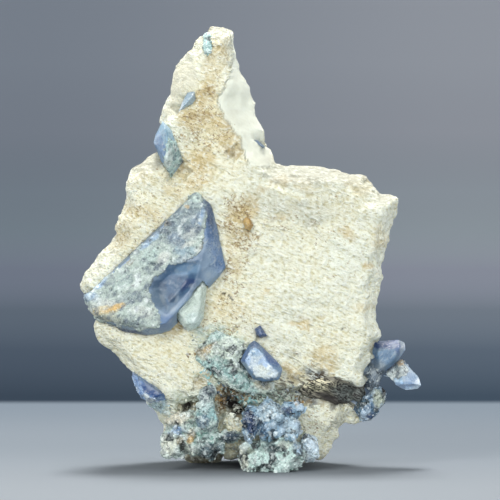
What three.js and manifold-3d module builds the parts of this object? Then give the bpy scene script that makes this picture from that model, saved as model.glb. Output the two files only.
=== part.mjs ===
// Benitoite on natrolite: a white slab with a tall spire, blue crystals grown on its front,
// and a foot of blueschist crust. Millimetres, +Z up, the front faces -Y.

import * as THREE from 'three';
import { ConvexGeometry } from 'three/addons/geometries/ConvexGeometry.js';
import { ImprovedNoise } from 'three/addons/math/ImprovedNoise.js';
import { mergeVertices } from 'three/addons/utils/BufferGeometryUtils.js';
import Module from 'manifold-3d';

const wasm = await Module();
wasm.setup();

// Driving dimensions
const seatGap = 0.35;        // clearance between a grown-in piece and its seat
const frontPitch = 1.9;      // spacing of the surface points on the front of the rock
const backPitch = 2.8;       // and on its back
const wallRings = 3;         // rings of points on the rock's broken edge
const wallDent = 1.0;        // how far the broken edge is hollowed
const backWear = 5;          // passes that round the outline towards the back
const backInset = 1.3;       // and how far the back's outline is drawn in
const bevelWidth = 2.6;      // the rim falls away over this width
const frontBevel = 2.4;      // by this much on the front
const backBevel = 2.2;       // and by this much on the back
const mostBevel = 0.6;       // but never by more than this share of the depth there
const leastBack = 0.35;      // the slanting planes leave at least this share of the back's depth
const footStep = 2.4;        // the foot lies this far behind the ledge above it
const ledgeRun = 1.2;        // height over which the ledge steps back
const crustEdge = 1.6;       // a crust reaches its full height this far from its edge
const crustLift = 0.15;      // and starts this far above the rock
const crustWave = 2.6;       // spacing of its lumps
const lumpFullness = 0.86;   // a lump's corners lie at about this share of its radii
const lumpUnevenness = 0.16; // give or take this share
const knobsPerLump = 2;      // small blocks on each lump of a cluster
const knobSize = 0.45;       // their size, as a share of the lump's
const knobSpread = 0.6;      // their distance from the lump's middle, sideways
const knobRise = 0.62;       // and forward
const knobCorners = 9;

// Unevenness of the rock's surfaces: [height, wavelength]
const frontRelief = [[0.45, 8], [0.2, 3.5]];
const backRelief = [[1.1, 13], [0.4, 4]];
const edgeWander = [0.6, 5]; // and of the depth of the rings on its broken edge
const edgeDentWave = 3.5;
const gridJitter = [0.3, 1.7]; // surface points lie this share of their spacing off a regular grid
const gridMargin = 0.6;      // and at least this share of it from the outline
const goldenTurn = Math.PI * (3 - Math.sqrt(5));

// Thickness of the rock in front of and behind the middle plane, by height: [height, front, back]
const thickness = [
  [0, 8.0, 11.0],
  [10, 8.0, 10.5],
  [25, 7.9, 8.5],
  [45, 6.8, 6.5],
  [55, 5.4, 4.8],
  [72, 2.6, 2.6],
];

// Slanting planes that break off the back: the back is no deeper than depth + perX * x + perZ * z
const backPlanes = [
  { depth: 13.6, perX: -0.5, perZ: 0 },
  { depth: 16.6, perX: 0.5, perZ: 0 },
  { depth: 21.0, perX: -0.12, perZ: -0.3 },
];

// Outline of the rock, seen from the front: [x, z], clockwise from the top of the spire
const rockOutline = [
  [-7.0, 71.3], [-4.7, 71.3], [-3.1, 71.2], [-2.8, 70.7], [-3.0, 68.5], [-2.8, 67.4], [-2.2, 65.0],
  [-2.1, 64.2], [-1.5, 63.5], [-0.7, 62.6], [-0.2, 61.6], [-0.2, 60.3], [0.6, 58.9], [0.3, 57.3],
  [0.7, 56.5], [1.2, 55.4], [1.7, 54.4], [1.7, 53.4], [2.5, 52.3], [3.1, 50.6], [3.7, 49.2],
  [5.0, 48.9], [7.3, 48.9], [9.7, 48.8], [12.2, 48.5], [14.2, 48.1], [15.8, 47.6], [18.2, 47.2],
  [19.1, 46.5], [20.3, 44.8], [20.8, 44.1], [22.3, 44.4], [23.6, 43.7], [23.6, 41.2], [22.8, 40.1],
  [22.3, 37.4], [21.4, 34.8], [20.9, 32.8], [21.2, 30.9], [20.4, 28.6], [19.8, 26.2], [20.1, 23.7],
  [20.8, 21.1], [20.3, 19.8], [19.3, 18.4], [18.7, 16.8], [18.5, 14.9], [17.6, 13.8], [16.5, 12.6],
  [15.8, 10.9], [16.6, 9.3], [18.3, 8.3], [18.0, 7.4], [16.6, 7.1], [15.0, 7.4], [13.8, 6.2],
  [12.9, 5.3], [11.8, 3.4], [11.0, 2.1], [9.4, 1.4], [7.1, 0.8], [4.2, 0.5], [1.7, 0.2],
  [-1.0, 0.9], [-2.8, 2.7], [-4.4, 3.2], [-7.0, 2.2], [-9.8, 2.9], [-11.8, 3.0], [-13.6, 4.0],
  [-14.2, 5.6], [-14.0, 6.9], [-15.1, 8.0], [-15.6, 9.4], [-17.0, 11.0], [-18.5, 13.1],
  [-19.3, 15.2], [-20.4, 17.1], [-22.5, 19.5], [-24.6, 20.8], [-25.2, 22.9], [-25.2, 24.8],
  [-26.5, 26.7], [-27.6, 29.9], [-25.8, 32.6], [-23.3, 36.0], [-21.7, 37.8], [-21.9, 39.2],
  [-20.8, 41.8], [-20.2, 43.6], [-20.2, 46.0], [-19.5, 48.1], [-16.9, 49.8], [-15.0, 51.3],
  [-15.0, 53.9], [-14.8, 56.2], [-14.0, 58.6], [-12.9, 60.6], [-12.4, 63.7], [-12.1, 65.0],
  [-9.8, 67.7], [-8.9, 69.3],
];

// The edge between the stained front of the spire and its pale right flank, which falls away: [x, z]
const spireEdge = [
  [-3.1, 64.2], [-4.2, 61.0], [-5.3, 59.7], [-4.7, 57.3], [-2.6, 54.9], [-1.4, 51.7], [-0.2, 49.3],
];
const flankFall = 0.75;
// The left shoulder of the spire falls away past this line
const shoulderEdge = [[-9.8, 66.0], [-10.4, 62.0], [-12.0, 57.0], [-12.5, 52.0]];
const shoulderFall = 0.55;

// Height of the ledge where the slab ends and the foot steps back, by x: [x, z]
const ledgeLine = [
  [-20, 11.0], [-13.8, 11.6], [-8.2, 12.6], [-3.4, 12.4], [1.7, 12.0], [5.4, 13.0], [8.0, 14.2],
  [20, 14.4],
];

const perlin = new ImprovedNoise();
const group = new THREE.Group();
const sockets = [];

// ---- numbers and outlines ----

// Linear interpolation in a table of rows that start with the key
function lookUp(table, key, column = 1) {
  const next = table.findIndex((row) => row[0] > key);
  if (next === -1) return table[table.length - 1][column];
  if (next === 0) return table[0][column];
  const [low, high] = [table[next - 1], table[next]];
  return THREE.MathUtils.mapLinear(key, low[0], high[0], low[column], high[column]);
}

// Uneven ground: two octaves of noise, about -1 to 1
function rough(x, y, z, wavelength) {
  const [u, v, w] = [x / wavelength, y / wavelength, z / wavelength];
  return perlin.noise(u, v, w) + 0.5 * perlin.noise(2.1 * u + 7, 2.1 * v, 2.1 * w);
}

function relief(octaves, x, y, z) {
  return octaves.reduce((sum, [height, wavelength]) => sum + height * rough(x, y, z, wavelength), 0);
}

function distanceToSegment(x, z, [ax, az], [bx, bz]) {
  const [dx, dz] = [bx - ax, bz - az];
  const along = THREE.MathUtils.clamp(((x - ax) * dx + (z - az) * dz) / (dx * dx + dz * dz), 0, 1);
  return Math.hypot(x - ax - along * dx, z - az - along * dz);
}

function distanceToOutline(x, z, outline) {
  const next = (i) => outline[(i + 1) % outline.length];
  return Math.min(...outline.map((point, i) => distanceToSegment(x, z, point, next(i))));
}

function isInside(x, z, outline) {
  let inside = false;
  outline.forEach(([ax, az], i) => {
    const [bx, bz] = outline[(i + 1) % outline.length];
    if (az > z !== bz > z && x < ax + ((z - az) / (bz - az)) * (bx - ax)) inside = !inside;
  });
  return inside;
}

function signedArea(outline) {
  return outline.reduce((sum, [ax, az], i) => {
    const [bx, bz] = outline[(i + 1) % outline.length];
    return sum + (ax * bz - bx * az) / 2;
  }, 0);
}

// The outline with every corner moved outward by the given distance
function grown(outline, distance) {
  if (distance === 0) return outline;
  const turn = Math.sign(signedArea(outline));
  return outline.map(([x, z], i) => {
    const [ax, az] = outline[(i + outline.length - 1) % outline.length];
    const [bx, bz] = outline[(i + 1) % outline.length];
    const before = new THREE.Vector2(z - az, ax - x).normalize();
    const after = new THREE.Vector2(bz - z, x - bx).normalize();
    const outward = before.clone().add(after).normalize();
    const reach = (turn * distance) / Math.max(0.5, outward.dot(after));
    return [x + outward.x * reach, z + outward.y * reach];
  });
}

// The outline with its corners worn off and drawn in
function worn(outline, passes, inset) {
  const count = outline.length;
  let soft = outline;
  for (let pass = 0; pass < passes; pass += 1) {
    const last = soft;
    soft = last.map((point, i) => {
      const [before, after] = [last[(i + count - 1) % count], last[(i + 1) % count]];
      return point.map((value, axis) => value / 2 + (before[axis] + after[axis]) / 4);
    });
  }
  return grown(soft, -inset);
}

function scaled(outline, factor) {
  const middle = centre(outline);
  return outline.map(([x, z]) => [middle[0] + (x - middle[0]) * factor, middle[1] + (z - middle[1]) * factor]);
}

function centre(outline) {
  const sum = outline.reduce(([a, b], [x, z]) => [a + x, b + z], [0, 0]);
  return [sum[0] / outline.length, sum[1] / outline.length];
}

// ---- a sheet of triangles over an outline ----

// Delaunay triangulation: points are added one by one, and the triangles whose circle holds the new
// point are replaced by a fan around it
function triangulate(points) {
  const far = 1000;
  const all = [...points, [-far, -far], [far, -far], [0, far]];
  const withCircle = (corners) => {
    const [[ax, ay], [bx, by], [cx, cy]] = corners.map((i) => all[i]);
    const d = 2 * (ax * (by - cy) + bx * (cy - ay) + cx * (ay - by));
    const [a, b, c] = [ax * ax + ay * ay, bx * bx + by * by, cx * cx + cy * cy];
    const x = (a * (by - cy) + b * (cy - ay) + c * (ay - by)) / d;
    const y = (a * (cx - bx) + b * (ax - cx) + c * (bx - ax)) / d;
    return { corners, x, y, radius: Math.hypot(ax - x, ay - y) };
  };
  let triangles = [withCircle([points.length, points.length + 1, points.length + 2])];
  points.forEach(([x, y], added) => {
    const hit = triangles.filter((t) => Math.hypot(x - t.x, y - t.y) < t.radius);
    const edges = hit.flatMap(({ corners: [a, b, c] }) => [[a, b], [b, c], [c, a]]);
    const rim = edges.filter(([a, b]) => !edges.some(([c, d]) => a === d && b === c));
    const fan = rim.map(([a, b]) => withCircle([a, b, added]));
    triangles = triangles.filter((t) => !hit.includes(t)).concat(fan);
  });
  return triangles.map((t) => t.corners).filter((corners) => corners.every((i) => i < points.length));
}

// Points on a staggered grid inside the outline, each a little off its place
function gridInside(outline, pitch) {
  const box = new THREE.Box2().setFromPoints(outline.map(([x, z]) => new THREE.Vector2(x, z)));
  const rise = pitch * Math.sqrt(0.75);
  const points = [];
  for (let row = 0; box.min.y + row * rise < box.max.y; row += 1) {
    for (let column = 0; box.min.x + column * pitch < box.max.x; column += 1) {
      const x = box.min.x + (column + (row % 2) / 2) * pitch;
      const z = box.min.y + row * rise;
      const [share, wave] = gridJitter;
      const shifted = [x + share * pitch * rough(x, 3, z, wave), z + share * pitch * rough(x, 8, z, wave)];
      const clear = distanceToOutline(...shifted, outline) > gridMargin * pitch;
      if (clear && isInside(...shifted, outline)) points.push(shifted);
    }
  }
  return points;
}

// One side of a slab: the outline's points come first, then the grid's
function sheet(outline, pitch) {
  const points = [...outline, ...gridInside(outline, pitch)];
  const lies = (corners) => isInside(...centre(corners.map((i) => points[i])), outline);
  return { points, triangles: triangulate(points).filter(lies) };
}

// A closed solid between a front and a back surface, each over its own outline with as many corners.
// The surfaces give y at [x, z], and a few rings of points make the broken edge between them.
function slab({ outline, backOutline = outline, frontY, backY, pitch, rearPitch = pitch, rings = 0 }) {
  const front = sheet(outline, pitch);
  const back = sheet(backOutline, rearPitch);
  const positions = [];
  const faces = [];
  const ringStart = [0];
  const add = (x, y, z) => positions.push(x, y, z) / 3 - 1;

  front.points.forEach(([x, z]) => add(x, frontY(x, z), z));
  const inner = grown(outline, -1);
  for (let ring = 1; ring <= rings; ring += 1) {
    ringStart.push(positions.length / 3);
    const along = ring / (rings + 1);
    outline.forEach((rim, i) => {
      const [x, z] = rim.map((value, axis) => THREE.MathUtils.lerp(value, backOutline[i][axis], along ** 2));
      const y = THREE.MathUtils.lerp(frontY(...rim), backY(...backOutline[i]), along);
      const inward = wallDent * (0.5 + 0.5 * rough(x, y, z, edgeDentWave));
      const [inX, inZ] = [inner[i][0] - rim[0], inner[i][1] - rim[1]];
      add(x + inward * inX, y + relief([edgeWander], z, x, y), z + inward * inZ);
    });
  }
  ringStart.push(positions.length / 3);
  back.points.forEach(([x, z]) => add(x, backY(x, z), z));

  const backStart = ringStart[ringStart.length - 1];
  const outlineTurn = signedArea(outline) > 0;
  const area = ([a, b, c], points) => signedArea([points[a], points[b], points[c]]);
  front.triangles.forEach((t) => faces.push(area(t, front.points) > 0 ? t : t.toReversed()));
  back.triangles.forEach((t) => {
    const turned = area(t, back.points) > 0 ? t.toReversed() : t;
    faces.push(turned.map((i) => i + backStart));
  });
  for (let ring = 0; ring + 1 < ringStart.length; ring += 1) {
    outline.forEach((_, i) => {
      const next = (i + 1) % outline.length;
      const [a, b] = [ringStart[ring] + i, ringStart[ring] + next];
      const [c, d] = [ringStart[ring + 1] + i, ringStart[ring + 1] + next];
      faces.push(...[[a, c, b], [b, c, d]].map((t) => (outlineTurn ? t : t.toReversed())));
    });
  }
  const geometry = new THREE.BufferGeometry();
  geometry.setAttribute('position', new THREE.Float32BufferAttribute(positions, 3));
  geometry.setIndex(faces.flat());
  return solidOf(geometry);
}

// ---- solids ----

function solidOf(geometry) {
  const bare = geometry.clone();
  bare.deleteAttribute('normal');
  bare.deleteAttribute('uv');
  const merged = mergeVertices(bare, 1e-4);
  const vertProperties = new Float32Array(merged.attributes.position.array);
  const triVerts = new Uint32Array(merged.index.array);
  return new wasm.Manifold(new wasm.Mesh({ numProp: 3, vertProperties, triVerts }));
}

function geometryOf(solid) {
  const { vertProperties, triVerts } = solid.getMesh();
  const geometry = new THREE.BufferGeometry();
  geometry.setAttribute('position', new THREE.BufferAttribute(vertProperties, 3));
  geometry.setIndex(new THREE.BufferAttribute(triVerts, 1));
  geometry.computeVertexNormals();
  return geometry;
}

// Chips that a cut leaves loose are dropped
function largestPart(solid) {
  return solid.decompose().sort((a, b) => b.volume() - a.volume())[0];
}

function fuse(solids) {
  return solids.reduce((sum, solid) => sum.add(solid));
}

// A tabular or wedge crystal: its face (a ring, or the points of a ridge), its girdle at the outline,
// and its root inside the rock. Depths are measured forward from the middle plane.
function crystal({ outline, face, faceDepth, slope = [0, 0], girdle, root, rootScale = 0.8 }, grow = 0) {
  const middle = centre(outline);
  const tilt = (x, z) => slope[0] * (x - middle[0]) + slope[1] * (z - middle[1]);
  const corners = [
    ...grown(face, grow).map(([x, z]) => [x, faceDepth + grow + tilt(x, z), z]),
    ...grown(outline, grow).map(([x, z]) => [x, girdle + tilt(x, z), z]),
    ...grown(scaled(outline, rootScale), grow).map(([x, z]) => [x, root - grow, z]),
  ];
  return solidOf(new ConvexGeometry(corners.map(([x, depth, z]) => new THREE.Vector3(x, -depth, z))));
}

// An angular lump: the hull of points spread over an ellipsoid, some pulled in
function lump([x, depth, z], radii, corners, seed, grow = 0) {
  const points = [];
  for (let i = 0; i < corners; i += 1) {
    const height = 1 - (2 * i + 1) / corners;
    const ring = Math.sqrt(1 - height * height);
    const reach = lumpFullness + lumpUnevenness * perlin.noise(3.7 * i + seed, 1.3 * seed, 0.4);
    const angle = goldenTurn * i + seed;
    const direction = new THREE.Vector3(ring * Math.cos(angle), ring * Math.sin(angle), height);
    const size = new THREE.Vector3(...radii).addScalar(grow / lumpFullness ** 2);
    points.push(direction.multiply(size).multiplyScalar(reach).add(new THREE.Vector3(x, -depth, z)));
  }
  return solidOf(new ConvexGeometry(points));
}

// Small blocks that stand on the front of a lump
function knobs([x, depth, z], radii, seed, grow) {
  return Array.from({ length: knobsPerLump }, (_, i) => {
    const angle = goldenTurn * i + seed;
    const place = [
      x + knobSpread * radii[0] * Math.cos(angle),
      depth + knobRise * radii[1],
      z + knobSpread * radii[2] * Math.sin(angle),
    ];
    return lump(place, radii.map((radius) => knobSize * radius), knobCorners, seed + 10 * i, grow);
  });
}

function smoothCluster(lumps, grow) {
  return fuse(lumps.map(([place, radii, corners, seed]) => lump(place, radii, corners, seed, grow)));
}

function knobblyCluster(lumps, grow) {
  const small = lumps.flatMap(([place, radii, , seed]) => knobs(place, radii, seed, grow));
  return fuse([smoothCluster(lumps, grow), ...small]);
}

// Everything below the ground plane is cut off, so that the foot stands on flat spots
function standing(solid) {
  const below = new THREE.BoxGeometry(100, 100, 20).translate(0, 0, -10);
  return solid.subtract(solidOf(below));
}

// ---- seating ----

function addMesh(name, solid, colour, roughness) {
  const material = new THREE.MeshStandardMaterial({ color: colour, roughness, metalness: 0 });
  const mesh = new THREE.Mesh(geometryOf(largestPart(solid)), material);
  mesh.name = name;
  group.add(mesh);
}

// Pieces are seated in order: each keeps its own shape, and the later ones are cut back from it
function seat(name, shape, colour, roughness) {
  const body = sockets.reduce((rest, socket) => rest.subtract(socket), shape(0));
  sockets.push(shape(seatGap));
  addMesh(name, standing(body), colour, roughness);
}

// ---- the rock ----

// How far a point lies to the right of an upright line
function pastLine(x, z, line) {
  const rows = line.toReversed().map(([lineX, lineZ]) => [lineZ, lineX]);
  return x - lookUp(rows, z);
}

function rimFall(x, z, drop) {
  const inFromEdge = THREE.MathUtils.clamp(distanceToOutline(x, z, rockOutline) / bevelWidth, 0, 1);
  return drop * (1 - inFromEdge) ** 2;
}

function frontDepth(x, z) {
  const spire = THREE.MathUtils.smoothstep(z, 48, 52);
  const flank = spire * flankFall * Math.max(0, pastLine(x, z, spireEdge));
  const shoulder = spire * shoulderFall * Math.max(0, -pastLine(x, z, shoulderEdge));
  const underLedge = 1 - THREE.MathUtils.smoothstep(z, lookUp(ledgeLine, x) - ledgeRun, lookUp(ledgeLine, x));
  const ground = lookUp(thickness, z, 1) - footStep * underLedge - flank - shoulder;
  return ground - rimFall(x, z, Math.min(frontBevel, mostBevel * ground)) + relief(frontRelief, x, 0, z);
}

function backDepth(x, z) {
  const planes = backPlanes.map(({ depth, perX, perZ }) => depth + perX * x + perZ * z);
  const full = lookUp(thickness, z, 2);
  const ground = Math.max(leastBack * full, Math.min(full, ...planes));
  return ground - rimFall(x, z, Math.min(backBevel, mostBevel * ground)) + relief(backRelief, x, 20, z);
}

function rock() {
  const block = slab({
    outline: rockOutline,
    backOutline: worn(rockOutline, backWear, backInset),
    frontY: (x, z) => -frontDepth(x, z),
    backY: backDepth,
    pitch: frontPitch,
    rearPitch: backPitch,
    rings: wallRings,
  });
  const whole = block.add(smoothCluster(rockLumps, 0));
  const holes = smoothCluster(rockHollows, 0);
  return [holes, ...sockets].reduce((rest, cut) => rest.subtract(cut), whole);
}

// A crust that lies on the front of the rock, thin at its edge and lumpy within
function crust({ outline, height, lumps, bedDepth, pitch }, grow) {
  const wide = grown(outline, grow);
  const rise = (x, z) => Math.min(1, distanceToOutline(x, z, wide) / crustEdge);
  const top = (x, z) => frontDepth(x, z) + rise(x, z) * (height + lumps * rough(x, 3, z, crustWave));
  return slab({
    outline: wide,
    frontY: (x, z) => -top(x, z) - crustLift - grow,
    backY: () => -bedDepth + grow,
    pitch,
  });
}

// ---- the crystals on the front ----

const paleFragment = {
  outline: [
    [-7.6, 31.2], [-7.2, 30.0], [-7.7, 27.7], [-7.8, 24.8], [-8.5, 23.4], [-9.8, 22.7], [-10.8, 22.8],
    [-12.6, 25.9], [-10.3, 28.5],
  ],
  face: [[-8.2, 29.6], [-8.3, 26.2], [-9.2, 24.0], [-10.4, 23.9], [-11.7, 25.9], [-9.8, 28.2]],
  faceDepth: 10.1,
  girdle: 8.6,
  root: 5.0,
};

const mainCrystal = {
  outline: [
    [-27.0, 28.2], [-25.2, 29.9], [-23.4, 31.0], [-17.7, 36.3], [-11.4, 42.7], [-9.4, 44.6],
    [-8.4, 44.8], [-6.6, 43.2], [-5.7, 40.2], [-4.1, 32.8], [-5.4, 31.0], [-12.1, 24.0], [-13.0, 22.6],
    [-14.6, 22.1], [-16.7, 21.8], [-20.2, 22.2], [-25.1, 24.3], [-26.8, 27.2],
  ],
  face: [
    [-26.4, 28.0], [-23.4, 30.4], [-17.7, 35.8], [-11.6, 42.0], [-9.3, 44.0], [-7.7, 42.6],
    [-7.1, 37.3], [-8.2, 33.8], [-10.6, 27.4], [-13.7, 24.0], [-16.2, 23.5], [-21.0, 24.1],
    [-24.8, 25.4],
  ],
  faceDepth: 9.6,
  slope: [0.17, -0.16],
  girdle: 6.6,
  root: 2.2,
  rootScale: 0.84,
};

// The broken hollow in the main crystal's face, where the clear blue inside shows
const windowOutline = [
  [-16.7, 29.3], [-15.4, 31.4], [-13.0, 33.6], [-8.2, 33.9], [-8.4, 30.9], [-11.8, 27.7], [-13.6, 25.2],
  [-15.4, 26.7],
];
const windowDepth = 1.1;
const windowMouth = 1.15;    // the hollow's mouth and floor, as shares of the outline
const windowFloor = 0.55;

const upperLeftCrystal = {
  outline: [
    [-14.3, 56.2], [-15.4, 54.1], [-15.8, 52.8], [-15.1, 51.4], [-14.5, 49.6], [-13.8, 48.0],
    [-13.0, 47.0], [-12.1, 48.2], [-10.9, 49.8], [-11.8, 51.7], [-12.2, 53.3], [-13.0, 54.9],
  ],
  face: [[-13.9, 55.2], [-13.3, 52.6], [-13.6, 50.0]],
  faceDepth: 8.2,
  girdle: 5.0,
  root: 1.5,
};

const paleSliver = {
  outline: [
    [-10.3, 60.8], [-9.2, 61.0], [-8.9, 59.8], [-9.5, 58.9], [-11.0, 58.1], [-11.9, 57.3],
    [-11.2, 59.2],
  ],
  face: [[-9.4, 60.4], [-10.9, 58.6]],
  faceDepth: 5.6,
  girdle: 4.4,
  root: 2.4,
};

const spireFleck = {
  outline: [[0.0, 53.2], [1.0, 53.1], [2.3, 51.9], [1.7, 51.7], [0.4, 52.4]],
  face: [[0.5, 52.9], [1.6, 52.1]],
  faceDepth: 3.4,
  girdle: 2.8,
  root: 0.8,
};

const smallDarkCrystal = {
  outline: [[0.5, 22.9], [1.4, 23.5], [2.0, 22.5], [2.6, 21.7], [1.4, 21.4], [0.7, 21.9]],
  face: [[1.1, 22.9], [1.8, 22.0], [1.3, 21.9]],
  faceDepth: 8.9,
  girdle: 8.2,
  root: 6.0,
};

const lowerMiddleCrystal = {
  outline: [
    [0.4, 21.1], [1.2, 20.6], [4.1, 17.8], [5.0, 16.6], [4.4, 14.9], [1.8, 14.6], [0.2, 15.0],
    [-1.8, 17.9], [-0.4, 20.5],
  ],
  face: [[0.2, 19.9], [1.3, 19.6], [4.2, 16.2], [3.8, 15.5], [0.8, 15.6], [-0.3, 16.6], [-1.0, 17.9]],
  faceDepth: 12.4,
  slope: [0.1, -0.18],
  girdle: 10.6,
  root: 5.0,
};

const lowerLeftCrystal = {
  outline: [
    [-19.3, 16.0], [-17.8, 15.2], [-16.2, 14.4], [-14.6, 13.4], [-13.5, 12.3], [-13.8, 11.4],
    [-16.2, 10.9], [-17.6, 11.6], [-18.4, 12.8], [-19.2, 14.8],
  ],
  face: [[-18.6, 15.0], [-16.4, 13.8], [-14.4, 12.3], [-16.2, 11.7], [-17.8, 12.6]],
  faceDepth: 8.4,
  girdle: 6.6,
  root: 3.0,
};

const tanGrain = {
  outline: [[-1.4, 40.2], [-0.9, 40.9], [-0.2, 40.5], [0.3, 39.5], [-0.2, 38.6], [-1.1, 39.0]],
  face: [[-0.9, 40.2], [-0.3, 39.7], [-0.7, 39.3]],
  faceDepth: 8.0,
  girdle: 7.4,
  root: 5.2,
};

function mainCrystalShape(grow) {
  const { outline, faceDepth, slope } = mainCrystal;
  const [middleX, middleZ] = centre(outline);
  const depthAt = (x, z) => faceDepth + slope[0] * (x - middleX) + slope[1] * (z - middleZ);
  const whole = crystal(mainCrystal, grow);
  if (grow > 0) return whole;
  const corners = [
    ...scaled(windowOutline, windowMouth).map(([x, z]) => [x, depthAt(x, z) + seatGap, z]),
    ...scaled(windowOutline, windowFloor).map(([x, z]) => [x, depthAt(x, z) - windowDepth, z]),
  ];
  const hollow = new ConvexGeometry(corners.map(([x, depth, z]) => new THREE.Vector3(x, -depth, z)));
  return whole.subtract(solidOf(hollow));
}

// ---- the crust and the clusters of the foot: [x, depth, z], [radii], corners, seed ----

const schistCrust = {
  outline: [
    [-9.0, 19.4], [-7.4, 21.1], [-5.8, 22.7], [-4.1, 21.9], [-2.2, 21.3], [-0.9, 19.7], [-1.2, 17.8],
    [0.6, 14.9], [3.3, 14.2], [4.1, 12.8], [1.7, 12.3], [-1.0, 12.6], [-3.1, 13.2], [-5.0, 14.2],
    [-7.0, 16.2], [-8.9, 17.8],
  ],
  height: 0.9,
  lumps: 0.7,
  bedDepth: 4.2,
  pitch: 1.3,
};

const topPatch = {
  outline: [[-7.6, 70.0], [-6.9, 70.3], [-6.4, 69.0], [-6.4, 67.7], [-7.1, 66.6], [-7.8, 68.0]],
  height: 0.3,
  lumps: 0.2,
  bedDepth: 1.4,
  pitch: 0.9,
};

const fibrousSeam = {
  outline: [
    [7.2, 12.6], [8.6, 14.0], [10.8, 14.9], [13.4, 15.2], [15.8, 14.2], [17.4, 13.2], [17.2, 11.6],
    [15.4, 10.6], [13.6, 10.4], [11.4, 11.4], [9.2, 11.6],
  ],
  height: 0.7,
  lumps: 0.6,
  bedDepth: 3.4,
  pitch: 1.3,
};

// A cream bump between the clusters, a white lobe at the ledge's right end, and the two rear feet
const rockLumps = [
  [[-2.5, 6.4, 7.6], [2.1, 2.4, 2.6], 30, 5],
  [[17.0, 5.8, 14.9], [1.8, 2.6, 1.9], 26, 7],
  [[4.6, -7.0, 2.4], [6.6, 5.6, 4.6], 40, 2],
  [[-8.0, -6.8, 2.6], [4.0, 4.4, 4.6], 36, 9],
];

// A deep hollow under the ledge and a small one to its left
const rockHollows = [
  [[-2.2, 7.6, 11.3], [2.0, 3.4, 1.4], 24, 3],
  [[-10.3, 6.4, 10.4], [0.9, 2.2, 1.1], 18, 4],
];

const leftClusterLumps = [
  [[-7.0, 8.2, 11.6], [1.6, 2.0, 2.9], 22, 1],
  [[-7.3, 8.2, 8.3], [2.4, 2.4, 2.5], 26, 2],
  [[-11.2, 6.8, 7.8], [3.3, 2.6, 1.9], 28, 3],
  [[-12.5, 6.0, 4.6], [2.5, 3.2, 3.0], 30, 4],
  [[-9.6, 6.6, 4.6], [1.9, 2.8, 2.6], 24, 5],
  [[-6.8, 6.8, 4.3], [2.9, 3.4, 3.5], 30, 6],
  [[-3.3, 8.0, 5.5], [2.4, 1.9, 1.2], 20, 7],
];

const columnLumps = [
  [[-0.1, 9.0, 8.0], [1.9, 2.8, 3.2], 18, 11],
  [[3.0, 10.4, 9.5], [2.4, 2.8, 2.4], 18, 12],
  [[6.3, 9.4, 9.8], [2.3, 2.6, 1.7], 16, 13],
  [[3.2, 9.8, 6.6], [2.4, 2.8, 2.2], 18, 14],
  [[6.2, 9.4, 7.0], [1.8, 2.6, 2.4], 16, 15],
];

const mintLumps = [
  [[0.2, 7.8, 2.2], [2.8, 3.8, 3.1], 30, 21],
  [[2.8, 8.2, 1.7], [3.0, 4.2, 2.9], 32, 22],
  [[6.2, 7.8, 2.4], [2.5, 3.8, 3.3], 30, 23],
  [[3.8, 8.6, 4.4], [3.4, 3.0, 1.7], 26, 24],
];

const blueWhiteLumps = [
  [[9.2, 7.0, 3.6], [2.0, 3.0, 2.9], 26, 31],
];

const headCrystal = {
  outline: [
    [19.8, 20.5], [23.7, 20.8], [24.8, 20.3], [24.9, 19.1], [23.5, 17.2], [21.3, 15.3], [20.0, 14.8],
    [19.4, 16.7], [19.4, 18.9],
  ],
  face: [[20.4, 19.0], [23.9, 19.6], [22.9, 17.7], [20.7, 16.1]],
  faceDepth: 5.6,
  girdle: 3.4,
  root: -1.4,
};

const headLumps = [
  [[19.5, 2.8, 15.0], [1.9, 2.4, 3.1], 18, 41],
  [[18.1, 4.8, 16.1], [1.3, 1.4, 1.2], 14, 42],
];

const armCrystal = {
  outline: [
    [23.4, 17.4], [24.4, 17.5], [25.7, 16.1], [27.0, 14.8], [27.5, 13.4], [26.9, 12.8], [25.0, 12.6],
    [23.4, 13.4], [22.6, 14.5],
  ],
  face: [[24.2, 15.8], [26.3, 13.8], [24.6, 13.7]],
  faceDepth: 5.4,
  girdle: 3.2,
  root: 0.6,
};

const armLumps = [
  [[22.4, 2.6, 15.5], [1.8, 1.5, 1.1], 16, 51],
];

const lowerRightLumps = [
  [[18.7, 4.2, 9.8], [2.5, 2.8, 2.7], 20, 61],
  [[20.5, 3.2, 11.6], [1.7, 2.0, 2.2], 20, 62],
];

function onStalk(tablet, lumps, grow) {
  return crystal(tablet, grow).add(smoothCluster(lumps, grow));
}

// ---- assembly ----

seat('benitoite_pale_fragment', (grow) => crystal(paleFragment, grow), 0xb9c8c4, 0.35);
seat('benitoite_main_crystal', mainCrystalShape, 0x5f7fa8, 0.35);
seat('benitoite_upper_left', (grow) => crystal(upperLeftCrystal, grow), 0x6f93c0, 0.35);
seat('benitoite_pale_sliver', (grow) => crystal(paleSliver, grow), 0xa9c0dc, 0.35);
seat('benitoite_spire_fleck', (grow) => crystal(spireFleck, grow), 0x50687c, 0.4);
seat('benitoite_small_dark', (grow) => crystal(smallDarkCrystal, grow), 0x33476a, 0.35);
seat('benitoite_lower_middle', (grow) => crystal(lowerMiddleCrystal, grow), 0x8fa6c4, 0.35);
seat('benitoite_lower_left', (grow) => crystal(lowerLeftCrystal, grow), 0x3f63a0, 0.35);
seat('benitoite_head_crystal', (grow) => onStalk(headCrystal, headLumps, grow), 0x6683ad, 0.35);
seat('benitoite_arm_crystal', (grow) => onStalk(armCrystal, armLumps, grow), 0x93aacb, 0.35);
seat('benitoite_lower_right', (grow) => smoothCluster(lowerRightLumps, grow), 0x4a6284, 0.4);
seat('benitoite_lower_column', (grow) => knobblyCluster(columnLumps, grow), 0x6c86ac, 0.35);
seat('joaquinite_grain', (grow) => crystal(tanGrain, grow), 0x9a7838, 0.5);
seat('blueschist_mint_crust', (grow) => knobblyCluster(mintLumps, grow), 0x9fbab4, 0.8);
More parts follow.
